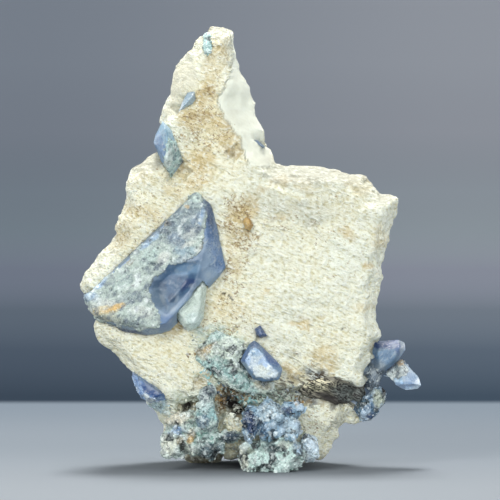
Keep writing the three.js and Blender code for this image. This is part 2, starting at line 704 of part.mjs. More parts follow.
seat('blueschist_blue_white_lump', (grow) => knobblyCluster(blueWhiteLumps, grow), 0x8ea4bc, 0.7);
seat('blueschist_left_cluster', (grow) => knobblyCluster(leftClusterLumps, grow), 0x6f8a90, 0.8);
seat('blueschist_crust', (grow) => crust(schistCrust, grow), 0x8aa6a4, 0.85);
seat('blueschist_top_patch', (grow) => crust(topPatch, grow), 0x8fb8bc, 0.85);
seat('fibrous_seam', (grow) => crust(fibrousSeam, grow), 0x4a4238, 0.9);
addMesh('natrolite_matrix', standing(rock()), 0xefebdc, 0.85);

// The origin is at the bottom, in the middle of the whole specimen
const box = new THREE.Box3().setFromObject(group);
const middle = box.getCenter(new THREE.Vector3());
group.position.set(-middle.x, -middle.y, -box.min.z);

export default group;
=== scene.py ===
"""Blue benitoite crystals on a slab of cream natrolite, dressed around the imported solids.

A fine copy of each CAD node gets the relief of the mineral, its marks are painted on its vertices, and a
node material adds the grain. Lengths are in mm until a mesh is written, and shades are screen colours.

A mark is a soft ellipse in the pixels of the 500 x 500 picture: x, y, half width, half height, strength
and, where it leans, its tilt in degrees. It reaches only what faces the picture's camera.
"""
import math
from itertools import product

import bmesh
import bpy
import numpy as np
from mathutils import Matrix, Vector
from mathutils.bvhtree import BVHTree


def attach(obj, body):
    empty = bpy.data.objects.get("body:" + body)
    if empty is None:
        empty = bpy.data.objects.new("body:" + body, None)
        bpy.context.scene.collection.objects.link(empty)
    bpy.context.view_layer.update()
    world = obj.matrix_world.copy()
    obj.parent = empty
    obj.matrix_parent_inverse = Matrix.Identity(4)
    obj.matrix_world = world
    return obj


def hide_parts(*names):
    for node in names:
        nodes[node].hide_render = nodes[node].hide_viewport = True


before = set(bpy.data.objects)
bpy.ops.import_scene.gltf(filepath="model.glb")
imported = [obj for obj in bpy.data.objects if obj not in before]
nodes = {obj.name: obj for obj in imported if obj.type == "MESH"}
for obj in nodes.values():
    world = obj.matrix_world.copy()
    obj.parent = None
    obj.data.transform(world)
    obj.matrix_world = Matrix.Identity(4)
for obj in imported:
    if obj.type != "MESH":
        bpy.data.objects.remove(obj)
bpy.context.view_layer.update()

MM = 0.001
MERGE = 0.0005 * MM
# Nothing reaches below this height.
LOWEST = 0.01

# The camera of the picture.
PICTURE = 500
SENSOR = 36.0
FOCAL_PIXELS = 4930.0
CAMERA_DISTANCE = 800.0
CAMERA_RISE = 3.0
CAMERA_AIM = (-0.19, 0.68, 35.15)
CAMERA_CLIP = (0.02, 200)

# Natrolite
CREAM = (237, 240, 222)
WHITE = (246, 249, 236)
BUFF = (236, 229, 194)
OCHRE = (208, 186, 130)
YELLOW = (232, 206, 142)
BROWN = (152, 128, 82)
GREY_GREEN = (196, 199, 184)
# Painted shade for the hollows, dark slots and gaps, and under the ledge.
HOLLOW_PAINTED_SHADE = (26, 19, 15)
# Benitoite and the skin on it
PALE_SKIN = (188, 203, 193)
WHITE_SKIN = (222, 224, 214)
SKY = (150, 184, 226)
NAVY = (34, 58, 100)
INK = (22, 30, 52)
# Blueschist
TEAL = (112, 158, 152)
DEEP_TEAL = (52, 82, 86)
TURQUOISE = (150, 200, 200)
SLATE = (92, 108, 122)
ORANGE = (204, 164, 100)
CHIP_LIGHT = (236, 244, 240)


def linear(shade):
    """A screen colour, 0 to 255, as linear light."""
    shares = [value / 255 for value in shade]
    return tuple(((s + 0.055) / 1.055) ** 2.4 if s > 0.04 else s / 12.92 for s in shares)


# ---- noise

WORD = np.uint64(0xFFFFFFFF)


def lattice_random(cells, seed):
    """A number from 0 to 1 for each whole-number place."""
    word = cells[..., 0] * 374761393 + cells[..., 1] * 668265263 + cells[..., 2] * 1440662683
    word = (word + seed * 982451653).astype(np.uint64) & WORD
    word = ((word ^ (word >> np.uint64(13))) * np.uint64(1274126177)) & WORD
    return (word ^ (word >> np.uint64(16))).astype(float) / float(WORD)


def noise(points, size, seed):
    """Smooth noise from -1 to 1 with bumps about this many mm across."""
    scaled = points / size
    base = np.floor(scaled).astype(np.int64)
    part = scaled - base
    part = part * part * (3 - 2 * part)
    total = np.zeros(len(points))
    for corner in product((0, 1), repeat=3):
        corner = np.array(corner)
        weight = np.prod(np.where(corner == 1, part, 1 - part), axis=1)
        total += weight * lattice_random(base + corner, seed)
    return 2 * total - 1


def layered(points, size, seed, layers=3):
    """Noise with ever finer, ever weaker layers, about -1 to 1."""
    total = np.zeros(len(points))
    for layer in range(layers):
        total += noise(points + 17.3 * layer, size / 2 ** layer, seed + layer) / 2 ** layer
    return total / 1.4


def facets(points, size, seed):
    """A heap of flat crystal faces about this many mm across, each with its own height and tilt."""
    scaled = points / size
    base = np.floor(scaled).astype(np.int64)
    nearest = np.full(len(points), np.inf)
    height = np.zeros(len(points))
    for step in product((-1, 0, 1), repeat=3):
        cell = base + np.array(step)
        draws = [lattice_random(cell, seed + 11 * k) for k in range(7)]
        offset = scaled - cell - np.stack(draws[:3], axis=1)
        distance = (offset ** 2).sum(axis=1)
        tilt = np.stack(draws[3:6], axis=1) - 0.5
        value = draws[6] - 0.5 + 1.6 * (offset * tilt).sum(axis=1)
        height = np.where(distance < nearest, value, height)
        nearest = np.minimum(nearest, distance)
    return height


def smooth_step(values, low, high):
    share = np.clip((values - low) / (high - low), 0, 1)
    return share * share * (3 - 2 * share)


def turned(points, degrees, stretch):
    """Points turned about the depth axis and pressed along it, so that noise runs in streaks."""
    angle = math.radians(degrees)
    along = points[:, 0] * math.cos(angle) - points[:, 2] * math.sin(angle)
    across = points[:, 0] * math.sin(angle) + points[:, 2] * math.cos(angle)
    return np.stack((along / stretch, points[:, 1], across), axis=1)


# ---- places in the picture

def picture_places(points):
    """The pixels at which the picture's camera sees these points."""
    rise = math.radians(CAMERA_RISE)
    ahead = np.array((0, math.cos(rise), -math.sin(rise)))
    up = np.array((0, math.sin(rise), math.cos(rise)))
    offset = points - np.array(CAMERA_AIM)
    depth = CAMERA_DISTANCE + offset @ ahead
    x = PICTURE / 2 + FOCAL_PIXELS * offset[:, 0] / depth
    y = PICTURE / 2 - FOCAL_PIXELS * (offset @ up) / depth
    return np.stack((x, y), axis=1)


def wandering(places, points, reach=4.0):
    """Places moved about by noise, by about this many pixels, so that painted marks have ragged edges."""
    shift_x = reach * (noise(points, 2.2, 301) + 0.6 * noise(points, 0.8, 302))
    shift_y = reach * (noise(points, 2.2, 303) + 0.6 * noise(points, 0.8, 304))
    return places + np.stack((shift_x, shift_y), axis=1)


def spot(places, x, y, half_width, half_height, strength=1.0, tilt=0):
    """Strongest in the middle of a soft ellipse, 0 outside it. A positive tilt runs down to the right."""
    angle = math.radians(tilt)
    dx, dy = places[:, 0] - x, places[:, 1] - y
    along = (dx * math.cos(angle) + dy * math.sin(angle)) / half_width
    across = (dy * math.cos(angle) - dx * math.sin(angle)) / half_height
    return strength * (1 - smooth_step(along ** 2 + across ** 2, 0.35, 1.5))


def spots(places, marks):
    """The cover of several soft ellipses together."""
    bare = np.ones(len(places))
    for mark in marks:
        bare *= 1 - spot(places, *mark)
    return 1 - bare


def inside_depth(places, outline):
    """How many pixels inside an outline each place lies, below zero outside it."""
    nearest = np.full(len(places), np.inf)
    inside = np.zeros(len(places), bool)
    for start, end in zip(outline, outline[1:] + outline[:1]):
        start, end = np.array(start, float), np.array(end, float)
        edge = end - start
        along = np.clip((places - start) @ edge / (edge @ edge), 0, 1)
        nearest = np.minimum(nearest, np.linalg.norm(places - start - along[:, None] * edge, axis=1))
        crossed = (start[1] > places[:, 1]) != (end[1] > places[:, 1])
        rise = edge[1] if edge[1] else 1e-9
        inside ^= crossed & (places[:, 0] < start[0] + (places[:, 1] - start[1]) * edge[0] / rise)
    return np.where(inside, nearest, -nearest)


def facing_share(normals):
    """1 on surfaces that face the picture's camera and 0 on those turned away."""
    return smooth_step(-normals[:, 1], -0.15, 0.35)


# ---- tints on the vertices

def covered(points, shade):
    """A tint for each point, all alike."""
    return np.tile(np.array(linear(shade)), (len(points), 1))


def mixed(tints, *layers):
    """Tints with layers over them, each a shade and its share for each point."""
    for shade, share in layers:
        share = np.clip(share, 0, 1)[:, None]
        tints = tints * (1 - share) + np.array(linear(shade)) * share
    return tints


def painted(tints, places, shades, share):
    """Tints with each shade laid on in its own marks, by a share for each point."""
    return mixed(tints, *((shade, share * spots(places, marks)) for shade, marks in shades.items()))


# ---- meshes

def new_piece(name, mesh):
    piece = bpy.data.objects.new(name, mesh)
    bpy.context.scene.collection.objects.link(piece)
    return piece


def settled(piece):
    """The piece with its modifiers worked into its mesh."""
    graph = bpy.context.evaluated_depsgraph_get()
    mesh = bpy.data.meshes.new_from_object(piece.evaluated_get(graph))
    piece.modifiers.clear()
    piece.data = mesh
    return piece


def fine_copy(name, node, voxel, smoothing):
    """A node's solid with even faces of this many mm and softened corners."""
    builder = bmesh.new()
    builder.from_mesh(nodes[node].data)
    bmesh.ops.remove_doubles(builder, verts=builder.verts, dist=MERGE)
    mesh = bpy.data.meshes.new(name)
    builder.to_mesh(mesh)
    builder.free()
    piece = new_piece(name, mesh)
    remesh = piece.modifiers.new("Remesh", "REMESH")
    remesh.mode = "VOXEL"
    remesh.voxel_size = voxel * MM
    remesh.use_smooth_shade = True
    soften = piece.modifiers.new("Soften", "SMOOTH")
    soften.factor = 0.5
    soften.iterations = smoothing
    return settled(piece)


def in_relief(name, node, voxel, smoothing, relief):
    """A node's fine copy with a relief made from its points: the piece, its points, normals and heights."""
    piece = fine_copy(name, node, voxel, smoothing)
    points, normals = read_points(piece), read_normals(piece)
    height = relief(points)
    points = points + normals * height[:, None]
    write_points(piece, points)
    return piece, points, normals, height


def read(values, name, width):
    """A row of numbers for each item of a mesh."""
    flat = np.empty(len(values) * width)
    values.foreach_get(name, flat)
    return flat.reshape(-1, width)


def read_points(piece):
    return read(piece.data.vertices, "co", 3) / MM


def read_normals(piece):
    return read(piece.data.vertex_normals, "vector", 3)


def above_floor(points):
    """Raises what would lie too low, and gives metres."""
    points[:, 2] = np.maximum(points[:, 2], LOWEST)
    return points * MM


def write_points(piece, points):
    piece.data.vertices.foreach_set("co", above_floor(points).ravel())
    piece.data.update()


def write_value(piece, name, values):
    layer = piece.data.attributes.new(name, "FLOAT", "POINT")
    layer.data.foreach_set("value", np.clip(values, 0, 1))


def write_tint(piece, tints, name="tint"):
    layer = piece.data.attributes.new(name, "FLOAT_COLOR", "POINT")
    whole = np.concatenate((np.clip(tints, 0, 1), np.ones((len(tints), 1))), axis=1)
    layer.data.foreach_set("color", whole.ravel())


def finish_piece(piece, material, node=None):
    """Gives a piece its material and its body, and hides the node that it stands for."""
    piece.data.materials.clear()
    piece.data.materials.append(material)
    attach(piece, "root")
    if node:
        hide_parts(node)


# ---- small loose crystals

CHIP_CORNERS = 10
CHIP_RADII = (0.60, 0.44, 0.28)
CHIP_TILT = 0.30
CHIP_KINDS = 12
# The shares of chips that are lighter and darker than the rest.
LIGHT_CHIPS = 0.26
DARK_CHIPS = 0.20


def chip_shapes(draws):
    """A few uneven little crystals with flat faces, about 1 across."""
    shapes = []
    for _ in range(CHIP_KINDS):
        builder = bmesh.new()
        for direction in draws.normal(size=(CHIP_CORNERS, 3)):
            builder.verts.new(direction / np.linalg.norm(direction) * CHIP_RADII)
        bmesh.ops.convex_hull(builder, input=builder.verts[:])
        builder.verts.index_update()
        corners = np.array([vertex.co for vertex in builder.verts])
        shapes.append((corners, [[vertex.index for vertex in face.verts] for face in builder.faces]))
        builder.free()
    return shapes


def lying_turns(draws, normals):
    """Turns that lay flat pieces on a surface, each a little tilted and turned at random."""
    up = normals + CHIP_TILT * draws.normal(size=normals.shape)
    up /= np.linalg.norm(up, axis=1)[:, None]
    side = np.cross(up, draws.normal(size=normals.shape))
    side /= np.linalg.norm(side, axis=1)[:, None]
    return np.stack((side, np.cross(up, side), up), axis=2)


def chip_tint(tint, light, dark):
    """The tint under a chip made lighter, darker or nearly left alone by a draw from 0 to 1."""
    if light < LIGHT_CHIPS:
        return tint + (np.array(linear(CHIP_LIGHT)) - tint) * 0.5
    if light < LIGHT_CHIPS + DARK_CHIPS:
        return tint * dark
    return tint * (0.8 + 0.35 * light)


def joined(parts):
    """Several sets of points, tints and faces as one."""
    start, faces = 0, []
    for points, _, part_faces in parts:
        faces += [[corner + start for corner in face] for face in part_faces]
        start += len(points)
    return np.concatenate([part[0] for part in parts]), np.concatenate([part[1] for part in parts]), faces


def chips_on(piece, tints, weight, count, sizes, seed, dark=0.44):
    """Small crystals lying on a piece: their points, tints and faces."""
    draws = np.random.default_rng(seed)
    points, normals = read_points(piece), read_normals(piece)
    homes = draws.choice(len(points), size=count, p=weight / weight.sum())
    widths = sizes[0] + (sizes[1] - sizes[0]) * draws.random(count) ** 2
    turns = lying_turns(draws, normals[homes])
    shapes = chip_shapes(draws)
    kinds = draws.integers(0, CHIP_KINDS, count)
    lights = draws.random(count)
    chips = []
    for home, width, turn, kind, light in zip(homes, widths, turns, kinds, lights):
        corners, faces = shapes[kind]
        tint = chip_tint(tints[home], light, dark)
        chips.append((corners @ turn.T * width + points[home], np.tile(tint, (len(corners), 1)), faces))
    return joined(chips)


def chip_mesh(name, points, faces):
    mesh = bpy.data.meshes.new(name)
    mesh.from_pydata(above_floor(points).tolist(), [], faces)
    return mesh


def with_chips(piece, tints, count, sizes, seed, weight=None, dark=0.44):
    """Joins small crystals to a piece and gives the tints of the whole. Most settle on its front."""
    if weight is None:
        weight = 0.4 + 0.6 * facing_share(read_normals(piece))
    own_faces = [list(face.vertices) for face in piece.data.polygons]
    chips = chips_on(piece, tints, weight, count, sizes, seed, dark)
    points, tints, faces = joined([(read_points(piece), tints, own_faces), chips])
    piece.data = chip_mesh(piece.name, points, faces)
    smooth = [index < len(own_faces) for index in range(len(faces))]
    piece.data.polygons.foreach_set("use_smooth", smooth)
    return tints


# ---- materials

class Shader:
    """A material's node tree, with short ways to add the nodes that the minerals share."""

    def __init__(self, name):
        self.material = bpy.data.materials.new(name)
        self.material.use_nodes = True
        self.tree = self.material.node_tree
        self.surface = self.tree.nodes["Principled BSDF"]
        place = self.add("ShaderNodeTexCoord", {}).outputs["Object"]
        self.place = self.scaled(place, (1 / MM, 1 / MM, 1 / MM))
        self.base = None

    def put(self, value, socket):
        """Links a socket or sets it. A shade becomes linear light."""
        if isinstance(value, bpy.types.NodeSocket):
            self.tree.links.new(value, socket)
        elif socket.type == "RGBA":
            socket.default_value = (*linear(value), 1)
        else:
            socket.default_value = value

    def add(self, kind, inputs, **settings):
        """A node, with its inputs by name or number."""
        node = self.tree.nodes.new(kind)
        for name, value in settings.items():
            setattr(node, name, value)
        for key, value in inputs.items():
            self.put(value, node.inputs[key])
        return node

    def scaled(self, vector, scale, turn=0):
        rotation = (0, math.radians(turn), 0)
        inputs = {"Vector": vector, "Scale": scale, "Rotation": rotation}
        return self.add("ShaderNodeMapping", inputs).outputs["Vector"]

    def noise(self, size, detail=3, vector=None):
        """Noise from about 0.2 to 0.8, with lumps of this many mm."""
        inputs = {"Vector": vector or self.place, "Scale": 1 / size, "Detail": detail}
        return self.add("ShaderNodeTexNoise", inputs).outputs["Fac"]

    def streaks(self, size, length, turn):
        """Noise drawn out along a line that runs down to the right by this many degrees."""
        turned_place = self.scaled(self.place, (1, 1, 1), turn=-turn)
        return self.noise(size, vector=self.scaled(turned_place, (1 / length, 1, 1)))

    def value(self, name):
        return self.add("ShaderNodeAttribute", {}, attribute_name=name).outputs["Fac"]

    def tint(self, name="tint"):
        return self.add("ShaderNodeAttribute", {}, attribute_name=name).outputs["Color"]

    def math(self, operation, first, second=0.5):
        return self.add("ShaderNodeMath", {0: first, 1: second}, operation=operation).outputs["Value"]

    def times(self, first, second):
        return self.math("MULTIPLY", first, second)

    def weighed(self, first, share, second):
        """Two values together, the first by this share and the second by the rest."""
        return self.math("ADD", self.times(first, share), self.times(second, 1 - share))

    def between(self, value, low, high, start=0.0, end=1.0):
        """A value's run from low to high, smoothly drawn to start to end."""
        inputs = {"Value": value, "From Min": low, "From Max": high, "To Min": start, "To Max": end}
        return self.add("ShaderNodeMapRange", inputs, interpolation_type="SMOOTHSTEP").outputs["Result"]

    def mix(self, share, first, second, blend="MIX"):
        inputs = {0: share, 6: first, 7: second}
        settings = {"data_type": "RGBA", "blend_type": blend, "clamp_factor": True}
        return self.add("ShaderNodeMix", inputs, **settings).outputs[2]

    def paint(self, shade, level, low=0.0, high=1.0, most=1.0, within=1.0, blend="MIX"):
        """Lays a shade over the base colour so far, as a level runs from low to high."""
        share = self.times(self.between(level, low, high, 0.0, most), within)
        self.base = self.mix(share, self.base, shade, blend)

    # Lays the near-black painted shade wherever the attribute for it is set.
    def lay_painted_shade(self):
        self.base = self.mix(self.value("painted_shade"), self.base, HOLLOW_PAINTED_SHADE)

    def bump(self, height, depth, below=None):
        inputs = {"Height": height, "Distance": depth * MM, "Strength": 1.0}
        if below:
            inputs["Normal"] = below
        return self.add("ShaderNodeBump", inputs).outputs["Normal"]

    def finished(self, **inputs):
        """The material, with its base colour and these inputs on its surface."""
        self.put(self.base, self.surface.inputs["Base Color"])
        for name, value in inputs.items():
            self.put(value, self.surface.inputs[name.replace("_", " ")])
        return self.material


def natrolite_material():
    """Sugary cream natrolite: soft fibres, brown flecks, and dark streaks where they are painted."""
    shader = Shader("natrolite")
    rough = shader.value("rough")
    grain = shader.noise(0.55, 6)
    dust = shader.noise(0.18)
    fibres = shader.streaks(0.30, 3.0, 24)
    mottled = shader.weighed(grain, 0.5, fibres)
    shader.base = shader.tint()
    shader.paint((222, 214, 186), mottled, 0.50, 0.36, 0.8, rough, "MULTIPLY")
    shader.paint(WHITE, mottled, 0.50, 0.60, 0.6, rough)

    # Flecks keep to clumps, and more of them show where specks are painted.
    flecks = shader.streaks(0.28, 2.2, 34)
    crossing = shader.streaks(0.25, 2.0, -40)
    level = shader.math("MAXIMUM", flecks, shader.math("SUBTRACT", crossing, 0.03))
    level = shader.weighed(level, 0.7, shader.noise(1.6))
    threshold = shader.math("SUBTRACT", 0.66, shader.times(shader.value("specks"), 0.15))
    fleck_shade = shader.mix(shader.between(dust, 0.4, 0.6), (112, 90, 56), (186, 160, 108))
    shader.paint(fleck_shade, shader.math("SUBTRACT", level, threshold), -0.01, 0.08, 0.8)

    shader.paint((74, 64, 48), shader.streaks(0.30, 6.0, 22), 0.47, 0.56, within=shader.value("streaks"))
    # Painted shade in the hollows and slots.
    shader.lay_painted_shade()
    bumps = shader.bump(shader.times(dust, rough), 0.09)
    bumps = shader.bump(shader.times(fibres, rough), 0.36, bumps)
    bumps = shader.bump(shader.times(grain, rough), 0.42, bumps)
    shine = shader.between(grain, 0.3, 0.7, 0.5, 0.8)
    return shader.finished(Roughness=shine, Normal=bumps, IOR=1.48, Subsurface_Weight=0.15,
                           Subsurface_Radius=(1.0, 0.9, 0.7), Subsurface_Scale=1.0 * MM)


def grainy_material(name, grain, gloss=0.45, contrast=0.5):
    """A crust of tiny crystals: every grain has its own shade and shine over the painted tint."""
    shader = Shader(name)
    cells = shader.add("ShaderNodeTexVoronoi", {"Vector": shader.place, "Scale": 1 / grain}).outputs
    level = shader.add("ShaderNodeSeparateColor", {"Color": cells["Color"]}).outputs
    fine = shader.noise(grain * 0.4)
    tint = shader.base = shader.tint()
    dark = shader.mix(1.0, tint, (84, 100, 110), "MULTIPLY")
    light = shader.mix(0.6, tint, (244, 250, 246))
    shader.paint(dark, level["Red"], 1.0, 0.0, contrast)
    shader.paint(light, level["Green"], 0.55, 1.0, contrast)
    shader.paint(dark, fine, 0.58, 0.72, 0.55)
    shader.paint(light, fine, 0.42, 0.30, 0.5)
    shine = shader.between(level["Blue"], 0.0, 1.0, gloss - 0.2, gloss + 0.3)
    bumps = shader.bump(cells["Distance"], grain * 0.35, shader.bump(fine, 0.05))
    return shader.finished(Roughness=shine, Normal=bumps, IOR=1.6)


def glass_material(name, passed, density, roughness):
    """See-through crystal, deeper where it is thick, with clouds, and pits and flakes on etched faces."""
    shader = Shader(name)
    etched = shader.value("etched")
    cloud = shader.noise(1.8)
    flake = shader.streaks(0.30, 2.4, SKIN_TURN)
    pits = shader.noise(0.26, 4)
    hue = shader.base = shader.tint("hue")
    deeper = shader.mix(1.0, hue, (128, 166, 196), "MULTIPLY")
    shader.paint((214, 228, 236), cloud, 0.52, 0.68, 0.4)
    shader.paint(deeper, cloud, 0.46, 0.32, 0.5)
    shader.paint(deeper, pits, 0.46, 0.36, within=etched)
    shader.paint(CHIP_LIGHT, flake, 0.53, 0.68, 0.6, etched)
    ripple = shader.bump(shader.noise(0.6, 4), 0.04)
    etching = shader.bump(shader.times(shader.math("ADD", flake, pits), etched), 0.08, ripple)
    volume = shader.tree.nodes.new("ShaderNodeVolumeAbsorption")
    volume.inputs["Color"].default_value = (*passed, 1)
    volume.inputs["Density"].default_value = density
    shader.put(volume.outputs["Volume"], shader.tree.nodes["Material Output"].inputs["Volume"])
    return shader.finished(Transmission_Weight=0.5, IOR=1.76, Roughness=roughness, Specular_IOR_Level=0.3,
                           Normal=etching)


def fibre_material():
    """Dark fibrous schist: black to brown between cream fibres."""
    shader = Shader("fibrous_schist")
    fibres = shader.streaks(0.26, 8, 24)
    level = shader.weighed(fibres, 0.6, shader.streaks(0.14, 7, 28))
    shader.base = shader.mix(shader.between(level, 0.45, 0.53), (42, 38, 32), shader.tint())
    shader.paint((14, 13, 13), level, 0.45, 0.40)
    # Painted shade under the ledge.
    shader.lay_painted_shade()
    shine = shader.between(fibres, 0.4, 0.7, 0.7, 0.4)
    return shader.finished(Roughness=shine, Normal=shader.bump(level, 0.25), IOR=1.6)


# ---- the natrolite rock

ROCK_VOXEL = 0.315
# Fibres run down to the right.
FIBRE_TURN = 24
# Rims of seats within the first distance are drawn onto the crystal, beyond the second not at all.
SEAT_REACH = (0.55, 1.0)
SEAT_OVERLAP = 0.07
# The sides grow to make up for the softening, and more at the lobes beside the foot. The edge draws
# back behind the crystals at the right.
ROCK_SWELL = 0.34
LOBE_SWELL = 1.6
LOBES = [(328, 446, 16, 16, 0.62), (233, 447, 12, 9, 1)]
DENT_DEPTH = 1.9
DENTS = [(380, 355, 10, 17, 0.95), (375, 357, 5, 5, 0.45), (369, 378, 4, 8, 0.3)]
# Smooth white faces on the spire.
FLANK = [
    (233, 28), (236, 60), (248, 80), (256, 110), (264, 140), (274, 166), (250, 166), (243, 150),
    (235, 130), (222, 115), (218, 100), (225, 85), (232, 72), (230, 50)]
FLANK_SHADE = (228, 231, 214)
SHOULDER = [(190, 60), (197, 70), (194, 86), (184, 92), (178, 112), (168, 122), (170, 95), (176, 70)]
# The shoulder faces up into the light and is painted darker: painted shade.
SHOULDER_PAINTED_SHADE = (214, 212, 190)
# The tops are painted a little darker than the front: painted shade.
TOP_PAINTED_SHADE = (140, 138, 122)
TOP_PAINTED_SHADE_SHARE = 0.85

BUFF_AREAS = [
    (140, 362, 62, 34, 0.15, 32), (190, 350, 40, 30, 0.4), (205, 118, 26, 44, 0.8, 8),
    (210, 300, 26, 44, 0.35), (168, 330, 26, 10, 0.5), (232, 428, 26, 30, 0.45), (205, 165, 55, 30, 0.5),
    (135, 225, 38, 34, 0.4), (185, 78, 10, 12, 0.5)]
# Grey-green areas, partly the rock's own tone and partly painted shade along the top edge and along the
# groove below it.
GREY_AREAS = [
    (300, 176, 60, 8, 0.6, 6), (292, 212, 46, 12, 0.6, 2), (312, 221, 14, 6, 0.8, 4),
    (262, 200, 24, 14, 0.5, 20), (330, 205, 40, 22, 0.2, 8), (186, 136, 15, 14, 0.55, 20),
    (254, 138, 9, 16, 0.4, 60), (300, 185, 26, 8, 0.35, 4), (252, 250, 5, 5, 0.5),
    (250, 452, 9, 4, 0.8, 12), (355, 215, 40, 8, 0.2, 14), (300, 300, 70, 6, 0.25, 10),
    (290, 345, 60, 5, 0.3, 22)]
TAN_AREAS = [
    (214, 64, 13, 20, 0.5, 20), (222, 45, 10, 10, 0.4), (206, 95, 11, 15, 0.75, 10),
    (202, 122, 24, 12, 0.75, 8), (231, 140, 13, 18, 0.7, -20), (196, 170, 20, 18, 0.7, -30),
    (170, 192, 12, 8, 0.5), (246, 210, 14, 20, 0.65, 20), (240, 222, 14, 20, 0.6, -20),
    (233, 256, 8, 24, 0.5, -14), (140, 180, 12, 8, 0.35), (140, 212, 18, 8, 0.45),
    (120, 235, 18, 12, 0.45, -50), (280, 181, 9, 6, 0.7), (304, 186, 12, 7, 0.3), (265, 190, 8, 5, 0.45),
    (347, 235, 9, 6, 0.6, 20), (377, 240, 9, 13, 0.5), (367, 265, 4, 4, 0.7), (360, 186, 14, 8, 0.35, 10),
    (302, 328, 14, 4, 0.75, 28), (323, 319, 5, 3, 0.7), (364, 306, 12, 4, 0.4), (264, 289, 5, 3, 0.5),
    (282, 217, 6, 5, 0.6), (326, 360, 15, 12, 0.6, 35), (293, 373, 10, 8, 0.6, 30),
    (328, 368, 9, 5, 0.8, 20), (225, 305, 20, 14, 0.35), (176, 331, 11, 6, 0.75, -20),
    (296, 404, 6, 5, 0.9), (190, 436, 6, 9, 0.7), (209, 351, 9, 9, 0.5), (288, 366, 8, 5, 0.5, 10)]
BROWN_AREAS = [
    (202, 118, 12, 6, 0.7, 8), (206, 96, 6, 12, 0.5, 10), (228, 128, 4, 6, 0.6),
    (232, 152, 7, 5, 0.75, 20), (226, 225, 8, 6, 0.7), (234, 209, 6, 5, 0.5), (242, 232, 10, 7, 0.6, 20),
    (252, 236, 6, 4, 0.5, 20), (180, 166, 5, 8, 0.6, 20), (275, 219, 4, 3, 0.7), (313, 222, 7, 3, 0.5),
    (228, 270, 5, 6, 0.6), (291, 374, 7, 5, 0.7, 30), (178, 330, 7, 4, 0.7, -20), (286, 366, 5, 3, 0.5),
    (204, 150, 5, 5, 0.5), (305, 322, 10, 3, 0.5, 30)]
SPECK_AREAS = [
    (205, 120, 34, 40, 0.8, 10), (218, 60, 14, 26, 0.4, 10), (240, 225, 22, 36, 0.9, -10),
    (236, 270, 16, 22, 0.8), (215, 310, 30, 36, 0.6), (150, 355, 60, 36, 0.15, 32),
    (300, 215, 60, 26, 0.3, 5), (325, 415, 40, 24, 0.6, -25), (135, 215, 36, 32, 0.5),
    (330, 240, 60, 50, 0.25), (290, 365, 40, 20, 0.6, 24), (240, 330, 24, 20, 0.5),
    (225, 440, 34, 18, 0.5), (180, 175, 30, 20, 0.6)]
STREAK_AREAS = [
    (330, 384, 34, 8, 1, 20), (296, 384, 30, 7, 0.8, 18), (262, 392, 28, 6, 0.7, 12),
    (292, 402, 14, 6, 0.7, 20), (350, 404, 20, 6, 0.9, 20), (236, 388, 28, 5, 0.6, 18),
    (335, 422, 16, 8, 0.25, -25), (205, 404, 18, 6, 0.5, 10), (308, 362, 26, 5, 0.35, 24)]
# Hollows, with their depth in mm as their strength, and the painted shade in them and in other dark slots.
HOLES = [
    (235, 403, 10, 10, 3.0, 20), (243, 410, 9, 7, 2.4, 30), (188, 407, 7, 5, 1.8, 50),
    (183, 446, 3, 8, 1.6), (276, 440, 5, 3, 1.6, 10), (343, 400, 18, 6, 1.2, 22),
    (227, 392, 8, 4, 1.4, 30), (233, 151, 5, 6, 0.8, 20), (182, 163, 5, 7, 0.5, 20),
    (311, 211, 1.6, 1.6, 0.5), (343, 328, 2, 1.2, 0.4, 30), (228, 297, 2, 1.6, 0.4), (384, 390, 4, 5, 1.5),
    (300, 402, 5, 3, 0.8, 30), (179, 172, 12, 5, 1.5, -53), (177, 112, 5, 5, 0.6)]
HOLLOW_PAINTED_SHADE_AREAS = [
    (235, 404, 10, 9, 1, 20), (243, 411, 8, 6, 0.9, 30), (188, 407, 6, 4, 0.85, 50), (183, 447, 3, 7, 0.9),
    (276, 440, 5, 3, 0.9, 10), (332, 401, 14, 5, 0.7, 22), (227, 392, 8, 3, 0.7, 30),
    (311, 211, 1.6, 1.4, 0.8), (343, 328, 2, 1.2, 0.7, 30), (228, 297, 2.2, 1.6, 0.6),
    (384, 390, 3, 4, 0.9)]
# The lower end is rugged rock, dusted with blueschist, and its feet under the left cluster are darkened with
# painted shade.
RUGGED_AREAS = [
    (230, 408, 52, 22, 1, 10), (255, 450, 34, 18, 0.8), (190, 418, 26, 16, 0.7, 20),
    (292, 396, 34, 12, 0.9, 14), (225, 386, 44, 10, 0.8, 16), (330, 388, 34, 12, 0.7, 16)]
DUST_AND_FOOT_SHADE_AREAS = {
    (190, 214, 220): [(160, 404, 13, 5, 0.9, 30), (146, 402, 6, 5, 0.8, 50)],
    (178, 200, 190): [(228, 352, 36, 22, 0.8, 20), (262, 392, 34, 12, 0.8, 16),
    (196, 404, 30, 12, 0.4, 16), (290, 392, 16, 10, 0.6), (212, 332, 14, 8, 0.7),
    (232, 410, 26, 8, 0.5, 10)],
    TEAL: [(262, 398, 24, 5, 0.6, 12), (224, 384, 30, 4, 0.6, 20), (250, 386, 16, 4, 0.6, 30)],
    BROWN: [(232, 392, 26, 5, 0.8, 14), (205, 408, 14, 6, 0.6), (222, 404, 7, 9, 0.8),
    (300, 392, 26, 5, 0.6, 14), (262, 380, 12, 3, 0.5, 20)],
    ORANGE: [(297, 403, 6, 4, 0.9), (222, 402, 4, 6, 0.8), (290, 400, 6, 3, 0.5)],
    SLATE: [(308, 401, 12, 4, 0.8, 14), (332, 380, 30, 6, 0.5, 16), (316, 376, 16, 4, 0.5, 20)],
    # Painted shade on the feet under the left cluster.
    (112, 108, 94): [(198, 461, 28, 6, 0.95), (222, 452, 5, 6, 0.7)]}
